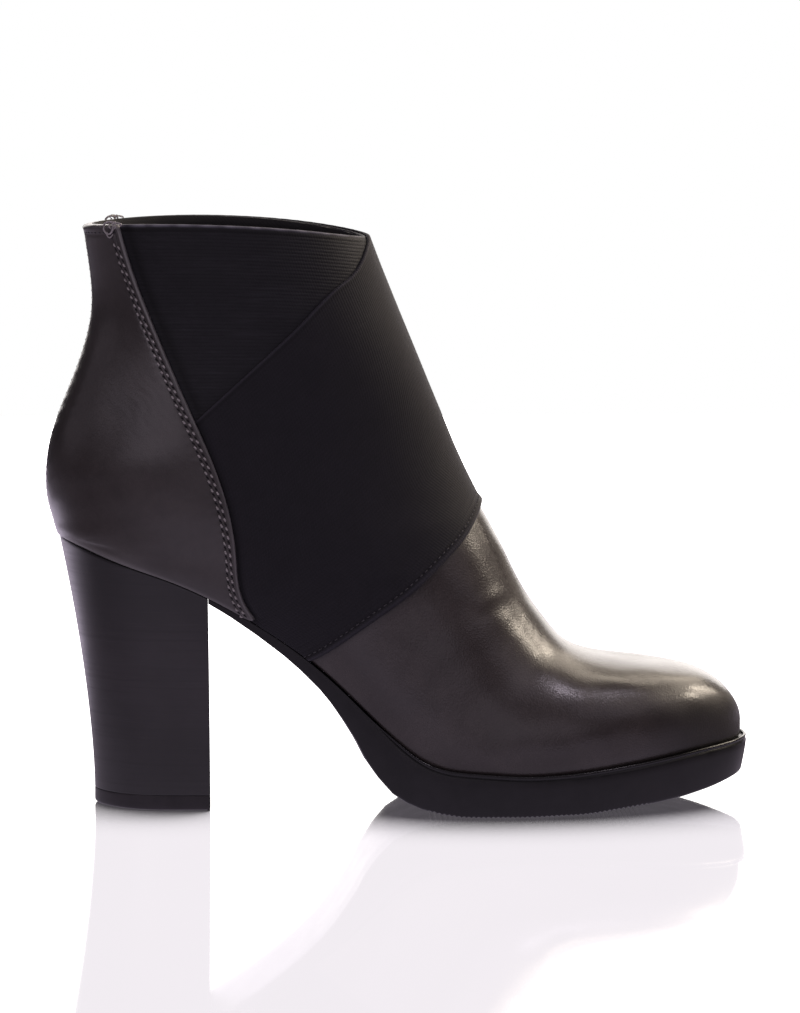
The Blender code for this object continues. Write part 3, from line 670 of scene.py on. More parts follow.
def stacked(name, colour, rough):
    """Heel cover: thin stacked layers under a satin finish."""
    look = Look(name, specular_ior_level=0.5, coat_weight=0.2, coat_roughness=0.25)
    layers = look.noise(1.3, 3.0, 0.6, stretch=(0.02, 0.02, 1.0))
    dashes = look.noise(2.0, 3.0, 0.6, stretch=(0.10, 0.10, 4.0))
    fine = look.noise(0.25, 2.0, 0.6)
    clouds = look.noise(14.0, 2.0, 0.5)
    base = look.mix(look.span(clouds, 0.35, 0.65, 0.0, 1.0), tuple(0.85 * x for x in colour), tuple(1.15 * x for x in colour))
    base = look.mix(look.span(layers, 0.52, 0.66, 0.0, 0.5), base, tuple(0.62 * x for x in colour))
    base = look.mix(look.span(dashes, 0.60, 0.72, 0.0, 0.5), base, tuple(1.8 * x for x in colour))
    # Painted shade: darker where the heel's shade layer is set
    base = look.mix(look.math("MULTIPLY", look.layer("painted_shade"), 0.9), base, tuple(0.15 * x for x in colour))
    look.colour(base)
    look.roughness(look.math("ADD", look.span(layers, 0.35, 0.65, rough - 0.04, rough + 0.04),
                             look.span(fine, 0.3, 0.7, -0.03, 0.03), clamp=True))
    look.bump((layers, 0.035), (fine, 0.010))
    return look.made


def cloth(name, colour, rough=0.8):
    look = Look(name, specular_ior_level=0.3, sheen_weight=0.2, sheen_roughness=0.5)
    wave = look.add("ShaderNodeTexWave", wave_type="BANDS", bands_direction="DIAGONAL")
    wave.inputs["Scale"].default_value = 0.55
    wave.inputs["Distortion"].default_value = 0.6
    look.link(look.mm, wave.inputs["Vector"])
    fibre = look.noise(0.3, 3.0, 0.65)
    clouds = look.noise(12.0, 2.0, 0.5)
    base = look.mix(look.span(clouds, 0.35, 0.65, 0.0, 1.0), tuple(0.8 * x for x in colour), tuple(1.25 * x for x in colour))
    base = look.mix(look.span(fibre, 0.4, 0.75, 0.0, 0.5), base, tuple(1.9 * x for x in colour))
    look.colour(base)
    look.roughness(look.span(fibre, 0.2, 0.8, rough - 0.08, rough + 0.08))
    look.bump((wave.outputs["Fac"], 0.05), (fibre, 0.05))
    return look.made


def thread(name, colour):
    look = Look(name, specular_ior_level=0.4, roughness=0.6, sheen_weight=0.2, sheen_roughness=0.4)
    ply = look.add("ShaderNodeTexWave", wave_type="BANDS", bands_direction="DIAGONAL")
    ply.inputs["Scale"].default_value = 1.6
    ply.inputs["Distortion"].default_value = 1.0
    look.link(look.mm, ply.inputs["Vector"])
    fibre = look.noise(0.2, 2.0, 0.6)
    base = look.mix(ply.outputs["Fac"], tuple(0.55 * x for x in colour), colour)
    look.colour(look.mix(look.span(fibre, 0.4, 0.7, 0.0, 0.5), base, tuple(min(1.0, 1.5 * x) for x in colour)))
    look.roughness(look.span(fibre, 0.3, 0.7, 0.5, 0.7))
    look.bump((ply.outputs["Fac"], 0.05), (fibre, 0.03))
    return look.made


VAMP_LOOK = leather("taupe_leather", (0.056, 0.047, 0.045), (0.042, 0.035, 0.034), 0.255, 0.08, 0.036)
COUNTER_LOOK = leather("counter_leather", (0.050, 0.042, 0.040), (0.037, 0.031, 0.030), 0.33, 0.18, 0.015)
GORE_LOOK = elastic("ribbed_elastic", (0.0135, 0.0132, 0.0156), (0.0076, 0.0075, 0.0090), 0.62, 0.12, 0.55)
STRAP_LOOK = elastic("woven_strap", (0.0128, 0.0120, 0.0150), (0.0091, 0.0086, 0.0107), 0.66, 0.35, 0.0)
SOLE_LOOK = rubber("black_rubber", (0.0090, 0.0084, 0.0096), 0.34)
HEEL_LOOK = stacked("stacked_heel", (0.0190, 0.0160, 0.0180), 0.36)
LIFT_LOOK = rubber("lift_rubber", (0.0180, 0.0154, 0.0172), 0.40)
LINING_LOOK = cloth("black_lining", (0.0080, 0.0076, 0.0082))
SOCK_LOOK = cloth("black_sock", (0.0120, 0.0112, 0.0115), 0.7)
PALE_THREAD = thread("taupe_thread", (0.44, 0.405, 0.40))
DARK_THREAD = thread("black_thread", (0.016, 0.015, 0.018))
STRAP_THREAD = thread("grey_thread", (0.060, 0.056, 0.062))
FRAY_THREAD = thread("frayed_thread", (0.42, 0.39, 0.39))
# Near-black cloth for the tubes sunk at the stitch ends: painted shade standing in for the inside of the needle holes
HOLE_SHADE_LOOK = cloth("needle_hole_shade", (0.0030, 0.0027, 0.0030), 0.9)


# ----------------------------------------------------------------------- pieces
def build_lining():
    rows = np.concatenate([np.linspace(0.0, SEAT_ROW, 46)[:-1], np.linspace(SEAT_ROW, 23.0, 70)[:-1],
                           TIP_ROW - np.linspace(2.0, 0.35, 14) ** 2])
    s, c = np.meshgrid(rows, np.linspace(-1.0, 1.0, 121), indexing="ij")
    p, n = spot(s, c), facing(s, c)
    outer, inner = p - 1.4 * n, p - 2.0 * n
    for side in (outer, inner):
        side[..., 2] = np.where(s > SEAT_ROW, np.maximum(side[..., 2], feather_z(side[..., 0]) + 0.05), side[..., 2])
    count, wide = s.shape
    points = np.concatenate([outer.reshape(-1, 3), inner.reshape(-1, 3)])
    faces = grid_faces(count, wide) + [q[::-1] for q in grid_faces(count, wide, count * wide)]
    more = count * wide
    for i in (0, count - 1):
        faces += [[i * wide + j, i * wide + j + 1, more + i * wide + j + 1, more + i * wide + j] for j in range(wide - 1)]
    first = int(np.sum(rows <= SEAT_ROW + 1e-9)) - 1
    for j in (0, wide - 1):
        faces += [[i * wide + j, (i + 1) * wide + j, more + (i + 1) * wide + j, more + i * wide + j]
                  for i in range(first, count - 1)]
    return make("lining", points, faces, LINING_LOOK, weld=0.002)


def crease_height(p, c, lines=CREASES):
    """How far the vamp's creases and swells stand out at the points p, at places c."""
    height = np.zeros(p.shape[:-1])
    for _, line, width, tall, sides in lines:
        xs, zs = np.array(line).T
        at = np.linspace(0, len(xs) - 1, 40)
        xs, zs = spline(range(len(xs)), xs)(at), spline(range(len(zs)), zs)(at)
        run = np.concatenate([[0.0], np.cumsum(np.hypot(np.diff(xs), np.diff(zs)))])
        reach = min(run[-1] / 2, 7.0)
        fade = ease(run / reach) * ease((run[-1] - run) / reach)
        for side in sides:
            here = (c * side > -0.02)
            q = p[here]
            half = TABLE[::4, ACROSS::-2] if side < 0 else TABLE[::4, ACROSS::2]
            flat = half.reshape(-1, 3)
            path = np.array([flat[np.argmin((flat[:, 0] - x) ** 2 + (flat[:, 2] - z) ** 2)] for x, z in zip(xs, zs)])
            d2 = ((q[:, None] - path[None]) ** 2).sum(axis=2)
            k = d2.argmin(axis=1)
            height[here] += tall * fade[k] * np.exp(-d2[np.arange(len(q)), k] / width ** 2)
    return height


def edge_section(test, across, low, high):
    """For each place n across, the section where the line c = n * reach crosses an edge;
    test(x, z) is negative above the edge."""
    found = np.empty(len(across))
    steps = ROWS[(ROWS >= low - 1e-9) & (ROWS <= high + 1e-9)]
    for k, lines in enumerate(across):
        p = spot(steps, lines(steps))
        value = test(p[:, 0], p[:, 2])
        found[k] = low if value[0] >= 0 else first_crossing(value[None], steps)[0]
    return found


def by_length(first, last, place, shares):
    """Sections along a column from first to last, at shares of its length."""
    steps = np.linspace(first, last, 400)
    return np.interp(np.asarray(shares) * lengths(spot(steps, place(steps)))[-1],
                     lengths(spot(steps, place(steps))), steps)


def build_vamp():
    across = np.sin(np.linspace(-1, 1, int(190 * FINE)) * 1.35) / math.sin(1.35)
    across[np.abs(across).argmin()] = 0.0
    lines = [lambda s, n=n: np.full_like(s, n) for n in across]
    top = edge_section(lambda x, z: vamp_z(x) - z, lines, 8.0, 18.0)
    count = int(210 * FINE)
    shares = np.linspace(0.0, 1.0, count)
    shares = shares + 0.10 * np.sin(2 * math.pi * shares) / (2 * math.pi)
    s = np.empty((count, len(across)))
    for k, n in enumerate(across):
        start = by_length(6.0, top[k], lines[k], [max(0.0, 1.0 - 8.0 / lengths(spot(np.linspace(6.0, top[k], 200), lines[k](np.linspace(6.0, top[k], 200))))[-1])])[0]
        s[:, k] = by_length(start, TIP_ROW - 2e-4, lines[k], shares)
    c = np.broadcast_to(across, s.shape)
    p, n = spot(s, c), facing(s, c)
    rim = refine(np.concatenate([spot(FEATHER_S[::4], np.full(375, -1.0)), spot(FEATHER_S[::-4], np.full(375, 1.0))]))
    down = away(p, rim)
    height = crease_height(p, c)
    grain = 0.05 * np.sin(p[..., 0] * 0.31 + 1.3) * np.sin(p[..., 2] * 0.37 + p[..., 1] * 0.22)
    height = height + grain
    height *= rounded(down, 6.0)
    height -= 0.7 * (1.0 - rounded(down, 1.2))
    outer, inner = p + height[..., None] * n, p - 1.25 * n
    points, faces, index = sheet_solid(outer, inner, (5, 5))
    edge = refine(np.array([spot(t, n) for t, n in zip(top, across)]))
    under = away(p, edge)
    # Painted shade: the lower side of the toe is darkened towards the tip, and the edges under the strap and at the
    # sole are darkened too
    toe_painted_shade = 1.0 * ease((p[..., 0] - 74.0) / 26.0) * ease((38.5 - p[..., 2]) / 7.0)
    layers = {"pale_edge_and_highlight": np.zeros(p.shape[:2]), "dull": crease_height(p, c, FINISH),
              "painted_shade": np.clip(0.55 * bell(under, 0.0, 0.9) + 0.5 * bell(down, 0.0, 0.9) + toe_painted_shade, 0.0, 1.0)}
    return make("vamp", points, faces, VAMP_LOOK, weld=0.003,
                layers={k: v.ravel()[index] for k, v in layers.items()}, replaces=("upper",)), outer


def level_line(field, value, points, down=True):
    """Points where a field over a grid first passes a value, going down the columns, or
    along the rows."""
    if not down:
        field, points = field.T, points.transpose(1, 0, 2)
    found = []
    for k in range(field.shape[1]):
        f, p = field[:, k], points[:, k]
        cross = np.where((f[:-1] < value) & (f[1:] >= value))[0]
        if len(cross):
            i = cross[0]
            t = (value - f[i]) / (f[i + 1] - f[i])
            found.append(p[i] * (1 - t) + p[i + 1] * t)
    return np.array(found)


def build_gore():
    near, far = np.linspace(-1.0, 0.0, int(72 * FINE)), np.linspace(0.0, 1.0, int(30 * FINE))
    across = np.concatenate([near, far[1:]])
    count = int(64 * FINE / 1.0)
    pitch = 74.0 / count
    depth = np.concatenate([[0.0, 0.1, 0.25, 0.45, 0.7, 0.95],
                            1.2 + pitch * (np.arange(count)[:, None] + np.array([0.0, 0.18, 0.5, 0.82])).ravel()])
    rise = np.concatenate([np.zeros(6), np.tile([0.0, 0.78, 1.0, 0.78], count)])
    steps = np.linspace(0.0, 10.0, 500)
    s, c = np.empty((len(depth), len(across))), np.empty((len(depth), len(across)))
    for k, f in enumerate(across):
        side = -1 if f <= 0 else 1
        place = f * np.minimum(counter_share(steps, side) + 3.0 / run_at(steps, side), 0.999)
        z = spot(steps, place)[:, 2]
        s[:, k] = np.interp(depth, z[0] - z, steps)
        c[:, k] = np.interp(s[:, k], steps, place)
    p, n = spot(s, c), facing(s, c)
    soft = 0.8 + 0.2 * np.sin(p[..., 0] * 0.9 + depth[:, None] * 1.7)
    height = 0.11 * rise[:, None] * soft - 0.6 * (1.0 - rounded(depth, 0.6))[:, None]
    outer, inner = p + height[..., None] * n, p - 1.25 * n
    points, faces, index = sheet_solid(outer, inner, (6, 3))
    warp = np.cumsum(np.concatenate([np.zeros((len(depth), 1)), np.linalg.norm(np.diff(p, axis=1), axis=2)], axis=1), axis=1)
    layers = {"rib": np.repeat(rise[:, None], len(across), axis=1), "warp": warp,
              # Painted highlight along the collar rim, strongest on the lateral side
              "pale_edge_and_highlight": 0.95 * bell(depth, 0.25, 0.5)[:, None] * (0.75 + 0.25 * np.sin(warp * 0.8 + 0.5 * np.sin(warp * 2.1)))
                      * (ease(-across / 0.25) + 0.12)[None],
              # Painted shadow along the counters' edges and a painted shade band under the rim
              "painted_shade": 0.9 * np.repeat(bell((1.0 - np.abs(across)) * 60.0, 3.4, 1.1)[None], len(depth), axis=0)
                        + 0.8 * np.repeat(bell(depth, 1.9, 0.6)[:, None], len(across), axis=1)}
    return make("elastic_gore", points, faces, GORE_LOOK,
                layers={k: v.ravel()[index] for k, v in layers.items()})


def strap_reach(s, side):
    run = run_at(s, side)
    return np.minimum(counter_share(s, side) + 2.6 / run, 1.0 - 0.15 / run)


def build_strap():
    across = np.concatenate([np.linspace(-1.0, 0.0, int(96 * FINE)), np.linspace(0.0, 1.0, int(64 * FINE))[1:]])
    lines = [lambda s, n=n: n * strap_reach(s, -1 if n <= 0 else 1) for n in across]
    top = edge_section(lambda x, z: strap_top_z(x) - z, lines, 0.0, 17.5)
    top = np.where(across < 0, top * ease(-across / 0.07), 0.0)
    low = edge_section(lambda x, z: vamp_z(x) - z, lines, 6.0, 17.8)
    count = int(74 * FINE)
    start, end = np.array([0.0, 0.1, 0.25, 0.45, 0.7]), np.array([2.2, 1.75, 1.35, 1.0, 0.72, 0.48, 0.28, 0.12, 0.03, 0.0])
    rise = np.concatenate([np.zeros(len(start)), np.tile([0.0, 0.8, 1.0, 0.8], count)[1:], np.zeros(len(end))])
    s = np.empty((len(rise), len(across)))
    for k in range(len(across)):
        steps = np.linspace(top[k], low[k], 500)
        run = lengths(spot(steps, lines[k](steps)))
        middle = np.linspace(start[-1], run[-1] - end[0], 4 * count + 1)[1:-1]
        s[:, k] = np.interp(np.concatenate([start, middle, run[-1] - end]), run, steps)
    c = np.stack([lines[k](s[:, k]) for k in range(len(across))], axis=1)
    p, n = spot(s, c), facing(s, c)
    d_low, d_top = away(p, refine(p[-1])), away(p, refine(p[0]))
    d_counter = np.full(p.shape[:2], 99.0)
    d_feather = np.full(p.shape[:2], 99.0)
    for side in (-1, 1):
        here = across <= 0 if side < 0 else across > 0
        steps = np.linspace(0.0, COUNTER_TIP[side], 900)
        d = away(p[:, here], refine(spot(steps, side * counter_share(steps, side))))
        sign = np.where(np.abs(c[:, here]) < counter_share(s[:, here], side), 1.0, -1.0)
        d_counter[:, here] = d * np.where(s[:, here] > COUNTER_TIP[side], 1.0, sign)
        d_feather[:, here] = away(p[:, here], refine(spot(np.linspace(12.0, 18.0, 400), np.full(400, float(side)))))
    height = 1.5 + 0.10 * np.sin(p[..., 0] * 0.11 + p[..., 2] * 0.07)
    height += 0.05 * rise[:, None] * ease((d_low - 1.6) / 1.5)
    height += 0.42 * bell(d_low, 1.1, 0.9) - 0.22 * bell(d_low, 2.45, 0.42) - 0.10 * bell(d_low, 4.4, 0.4) - 0.08 * bell(d_low, 6.7, 0.4)
    height = 0.2 + (height - 0.2) * rounded(d_low, 1.1)
    height = 0.55 + (height - 0.55) * rounded(d_top, 0.6)
    height = 0.27 + (height - 0.27) * ease((d_counter + 0.4) / 4.2)
    height = 0.1 + (height - 0.1) * rounded(d_feather, 1.7)
    below = np.minimum(0.34, height - 0.12)
    below = 0.04 + (below - 0.04) * ease((np.minimum(d_low, d_counter + 2.0)) / 4.0)
    outer, inner = p + height[..., None] * n, p + below[..., None] * n
    for side in (outer, inner):
        side[..., 2] = np.where(s > SEAT_ROW, np.maximum(side[..., 2], feather_z(side[..., 0]) + 0.05), side[..., 2])
    points, faces, index = sheet_solid(outer, inner, (6, 4))
    warp = np.cumsum(np.concatenate([np.zeros((len(s), 1)), np.linalg.norm(np.diff(p, axis=1), axis=2)], axis=1), axis=1)
    layers = {"rib": np.repeat(rise[:, None], len(across), axis=1), "warp": warp,
              # Painted highlights on the folded lower edge and the top edge
              "pale_edge_and_highlight": 0.10 * bell(d_low, 0.9, 0.7) + 0.13 * bell(d_top, 0.35, 0.35),
              # Painted shade in the stitch line, a painted shadow along the counter's edge and a painted shade band
              # under the top edge
              "painted_shade": 0.8 * bell(d_low, 2.45, 0.35) + 0.95 * bell(d_counter, 0.5, 0.8) + 0.5 * bell(d_top, 1.3, 0.5)}
    piece = make("elastic_strap_skin", points, faces, STRAP_LOOK,
                 layers={k: v.ravel()[index] for k, v in layers.items()}, replaces=("elastic_strap",))
    return piece, outer, d_low[::-1], outer[::-1]


COUNTER_TIP = {}
for _side in (-1, 1):
    _late = ROWS > SEAT_ROW
    COUNTER_TIP[_side] = float(ROWS[_late][np.argmax(COUNTER_SHARE[_side][_late] > 0.97)])


SEAT_ROLL = spline((-114.0, -107.0, -100.0, -92.0, -85.0, -77.0, -70.0, -62.0, -55.0),
                   (0.2, 0.8, 1.08, 1.2, 1.17, 0.72, 0.32, 0.06, 0.0))


def build_counter(side):
    tip = COUNTER_TIP[side]
    steps = np.linspace(0.0, tip, 1200)
    share = counter_share(steps, side)
    middle = spot(steps, side * (share + 1.0) / 2)
    s = np.interp(spaced_rows(middle, 0.5 / FINE), np.arange(len(steps)), steps)
    b, run = counter_share(s, side), run_at(s, side)
    front = np.array([0.0, 0.05, 0.13, 0.25, 0.4, 0.6, 0.85, 1.1, 1.35, 1.6, 1.85, 2.1, 2.4, 2.7, 3.0, 3.25, 3.5, 3.9, 4.6, 6.0])
    back = np.array([0.0, 0.12, 0.3, 0.5, 0.75, 1.05, 1.4, 1.8, 2.3, 2.9, 3.6, 4.4, 5.3, 6.3, 7.4, 8.7, 10.2, 12.0])
    ends = front[-1] + back[-1]
    inside = np.linspace(0.0, 1.0, int(46 * FINE) + 2)[1:-1]
    length = (1.0 - b) * run - np.where(s > SEAT_ROW, 0.05, 0.0)
    shrink = np.minimum(length / (1.15 * ends), 1.0)
    d = np.concatenate([front * shrink[:, None],
                        front[-1] * shrink[:, None] + (length - ends * shrink)[:, None] * inside,
                        length[:, None] - back[::-1] * shrink[:, None]], axis=1)
    c = side * np.minimum(b[:, None] + d / run[:, None], 1.0)
    s = np.broadcast_to(s[:, None], c.shape)
    p, n = spot(s, c), facing(s, c)
    feather = np.linspace(SEAT_ROW, tip + 1.0, 900)
    seam = np.linspace(0.0, SEAT_ROW, 900)
    d_front = away(p, refine(spot(steps, side * share)))
    d_top = away(p, refine(p[0]))
    d_seam = away(p, refine(spot(seam, np.full(900, float(side)))))
    d_base = away(p, refine(spot(feather, np.full(900, float(side)))))
    z = p[..., 2]
    height = np.full(p.shape[:2], 1.6)
    height += 0.03 * bell(d_front, 0.6, 0.4) - 0.17 * bell(d_front, 1.8, 0.36) - 0.17 * bell(d_front, 3.2, 0.36)
    height += 0.06 * bell(d_front, 2.5, 0.4) + 0.05 * np.sin(z * 2 * math.pi / EDGE_PITCH) * bell(d_front, 2.8, 1.8)
    height += 0.20 * bell(d_top, 1.0, 0.9) - 0.10 * bell(d_top, 3.0, 0.5)
    gather = bell(z, 132.0, 30.0) + 0.22
    height += 0.018 * gather * np.exp(-d_seam / 2.6) * np.cos(2 * math.pi * z / SEAM_PITCH + 0.5 * side + 0.12 * d_seam)
    height += 0.032 * gather * ease(d_seam / 3.0) * np.exp(-(d_seam / 9.0) ** 2) * np.sin(2 * math.pi * (z + 0.05 * d_seam ** 2) / 3.1 + 1.7 * np.sin(z * 0.21) + side)
    height += 0.032 * gather * ease(d_seam / 3.0) * np.exp(-(d_seam / 14.0) ** 2) * np.sin(2 * math.pi * (z - 0.35 * d_seam) / 5.3 + 2.1 * np.sin(z * 0.13 + 1.0) - side)
    height += 0.06 * np.exp(-(d_seam / 3.5) ** 2)
    height += np.maximum(SEAT_ROLL(p[..., 0]), 0.0) * bell(z, 90.5 - 1.2 * ease((p[..., 0] + 98.0) / 12.0), 5.0) * ease(d_base / 5.0)
    crinkle = 0.035 * np.exp(-(((p[..., 0] + 77.0) / 13.0) ** 2 + ((z - 131.0) / 15.0) ** 2))
    height += crinkle * np.sin(1.55 * p[..., 0] + 0.9 * z + 1.3 * np.sin(0.45 * z - 0.3 * p[..., 0])) * np.sin(0.6 * z + 0.35 * p[..., 0])
    height = 0.42 + (height - 0.42) * rounded(d_front, 0.55)
    height = 0.75 + (height - 0.75) * rounded(d_top, 0.75)
    bead = bell(d_seam, 0.0, 0.35 + 0.35 * np.minimum(gather, 1.0)) * (0.5 + 0.5 * np.cos(2 * math.pi * z / SEAM_PITCH)) ** 2
    height = 1.15 + (height - 1.15) * rounded(d_seam, 0.7) - 0.05 * bead
    height = 0.12 + (height - 0.12) * rounded(d_base, 1.5)
    below = 0.30 + (-1.25 - 0.30) * ease((d_front - 3.2) / 3.0)
    below = np.minimum(below, height - 0.1)
    outer, inner = p + height[..., None] * n, p + below[..., None] * n
    for skin in (outer, inner):
        skin[..., 2] = np.where(s > SEAT_ROW, np.maximum(skin[..., 2], feather_z(skin[..., 0]) + 0.02), skin[..., 2])
    points, faces, index = sheet_solid(outer, inner, (4, 3))
    # Painted highlight: a lighter patch above the base near the back, a light line along the bottom edge and a top that
    # grows lighter towards its edge. The front and top edge lines are partly the paler cut edge and partly painted
    # highlight.
    painted_base_light = 0.18 * bell(d_base, 3.4, 2.4) * ease((p[..., 0] + 114.0) / 5.0) * ease((-76.0 - p[..., 0]) / 14.0)
    layers = {"pale_edge_and_highlight": np.clip(painted_base_light + 1.0 * bell(d_front, 0.24, 0.28) + 0.65 * bell(d_top, 0.1, 0.5) + 0.6 * bell(d_base, 1.4, 0.8)
                              + 0.25 * np.exp(-d_top / 22.0), 0.0, 1.0),
              # Painted shade: darker along the back seam and its stitches, in the stitch furrows, under the top
              # stitches and where the counter meets the heel
              "painted_shade": np.clip(0.75 * bell(d_seam, 0.0, 0.20) + 0.95 * bead + 0.6 * bell(d_front, 1.8, 0.36) + 0.6 * bell(d_front, 3.2, 0.36)
                                + 0.2 * bell(d_top, 1.6, 0.4) + 0.9 * bell(d_base, 0.0, 0.45), 0.0, 1.0)}
    name = "counter_lateral" if side < 0 else "counter_medial"
    piece = make(name, points, faces, COUNTER_LOOK, weld=0.002,
                 layers={k: v.ravel()[index] for k, v in layers.items()}, replaces=("back_counter",))
    return piece, outer, {"front": d_front, "top": d_top, "seam": d_seam}


# --------------------------------------------------------------------- stitching
def tubes(paths, radii, sides=6):
    """Points and faces of closed tubes; paths is (count, rings, 3), radii (rings,)."""
    paths = np.asarray(paths, float)
    count, rings = paths.shape[:2]
    run = np.gradient(paths, axis=1)
    run /= np.maximum(np.linalg.norm(run, axis=2, keepdims=True), 1e-9)
    aside = np.cross(run, np.array([0.31, 0.22, 0.93]))
    aside /= np.maximum(np.linalg.norm(aside, axis=2, keepdims=True), 1e-9)
    up = np.cross(aside, run)
    turn = np.arange(sides) * 2 * math.pi / sides
    ring = (aside[:, :, None] * np.cos(turn)[None, None, :, None] + up[:, :, None] * np.sin(turn)[None, None, :, None])
    points = (paths[:, :, None] + ring * np.asarray(radii)[None, :, None, None]).reshape(-1, 3)
    faces = []
    for k in range(count):
        start = k * rings * sides
        faces += grid_faces(rings, sides, start, closed=True)
        faces.append([start + j for j in range(sides)][::-1])
        faces.append([start + (rings - 1) * sides + j for j in range(sides)])
    return points, faces


def stitch_paths(line, tree, pitch, length, lift, slant=0.0, sink=0.14, start=0.5):
    run = lengths(line)
    places = np.arange(start * pitch, run[-1] - 0.3 * pitch, pitch)
    paths = []
    for k, d in enumerate(places):
        middle = np.array([np.interp(d, run, line[:, i]) for i in range(3)])
        ahead = np.array([np.interp(d + 0.3, run, line[:, i]) for i in range(3)])
        spot_, normal, _, _ = tree.find_nearest(Vector(middle))
        axis = ahead - middle
        axis /= max(np.linalg.norm(axis), 1e-9)
        if slant:
            aside = np.cross(np.array(normal), axis)
            axis = axis * math.cos(slant) + aside * math.sin(slant)
        path = []
        for t in (-1.0, -0.85, -0.45, 0.0, 0.45, 0.85, 1.0):
            near, face, _, _ = tree.find_nearest(Vector(middle + axis * t * length / 2))
            out = np.array(face)
            if out @ np.array(normal) < 0:
                out = -out
            if out @ OUT_HINT(np.array(near)) < 0:
                out = -out
            path.append(np.array(near) + out * (lift * (1 - t * t) - sink * t * t))
        paths.append(path)
    return np.array(paths)


def OUT_HINT(point):
    """Roughly outward from the leg's axis."""
    return np.array([point[0] + 50.0, point[1], 0.0]) if point[2] > 75 else np.array([0.0, point[1], 0.0])


def build_stitches(name, sets, look, radius):
    points, faces, start = [], [], 0
    for paths in sets:
        if not len(paths):
            continue
        shape = np.array([0.35, 0.75, 1.0, 1.05, 1.0, 0.75, 0.35]) * radius
        p, f = tubes(paths, shape)
        points.append(p)
        faces += [[k + start for k in q] for q in f]
        start += len(p)
    return make(name, np.concatenate(points), faces, look)


KNOT = (  # towards the back, up, size, squash, thickness, first angle, turn, one loop each
    (2.0, -0.9, 2.10, 0.95, 0.36, 0.4, 6.2), (0.1, 0.0, 1.60, 0.75, 0.31, 2.0, 4.6),
    (-1.4, 0.1, 1.35, 0.55, 0.28, 5.0, 4.2), (-2.6, 0.2, 0.95, 0.55, 0.25, 1.0, 3.4),
    (0.9, 0.5, 1.50, 0.50, 0.29, 0.0, 3.4), (1.5, -3.0, 1.10, 0.95, 0.24, 3.0, 4.0))


def build_knots():
    """Frayed thread ends curled over the counter's top corners."""
    points, faces, start = [], [], 0
    for side in (-1, 1):
        b = float(counter_share(0.0, side))
        run = float(run_at(0.0, side))
        corner = spot(0.0, side * (b + 1.6 / run))
        out = facing(0.0, side * (b + 1.6 / run))
        back = spot(0.0, side * (b + 5.0 / run)) - corner
        back /= np.linalg.norm(back)
        up = np.array([0.0, 0.0, 1.0])
        top = float(spot(0.0, side * b)[2]) + 1.1
        for k, (behind, above, size, squash, thick, first, sweep) in enumerate(KNOT):
            turn = first + np.linspace(0.0, sweep, 26)
            wave = 0.22 * np.sin(turn * 2.3 + k) + 0.18 * np.cos(turn * 1.5 + k)
            path = (corner + back * behind + up * above + out * 1.6 + np.outer(size * np.cos(turn), back)
                    + np.outer(size * squash * np.sin(turn), up) + np.outer(wave, out))
            path[:, 2] = np.minimum(path[:, 2], top + 0.2 * np.sin(turn))
            p, f = tubes([path], np.full(26, thick))
            points.append(p)
            faces += [[i + start for i in q] for q in f]
            start += len(p)
    return make("thread_ends", np.concatenate(points), faces, FRAY_THREAD)


# ------------------------------------------------------------------ sole and heel
def plan_edge(s, side, out):
    """Point of the feather outline at section s, moved out in plan."""
    def at(q):
        return np.array([base_point(q)[0], float(SMOOTH["axis_y"](q)) + side * base_half(q, side)])
    if s > TIP_ROW - 1e-6:
        return at(TIP_ROW) + np.array([out, 0.0])
    if s < SEAT_ROW + 1e-6:
        return at(SEAT_ROW) - np.array([out, 0.0])
    a, b = at(max(s - 0.02, SEAT_ROW)), at(min(s + 0.02, TIP_ROW))
    d = (b - a) / np.linalg.norm(b - a)
    return at(s) + out * side * np.array([-d[1], d[0]])


def ledge(x):
    return WAIST_LEDGE + (SOLE_LEDGE - WAIST_LEDGE) * float(ease((x - LEDGE_FROM) / (LEDGE_TO - LEDGE_FROM)))


BOTTOM_X, BOTTOM_Z = np.array(SOLE_BOTTOM).T


def floor_z(x):
    return float(np.interp(x, BOTTOM_X, BOTTOM_Z))


def tooth(x):
    """Height of the tread's notches at x, 0 on a tooth and 1 in a notch."""
    share = float(ease((x - 6.0) / 5.0) * ease((84.0 - x) / 5.0))
    wave = 0.5 - 0.5 * math.cos(2 * math.pi * x / TOOTH_PITCH)
    return share * wave ** 0.7


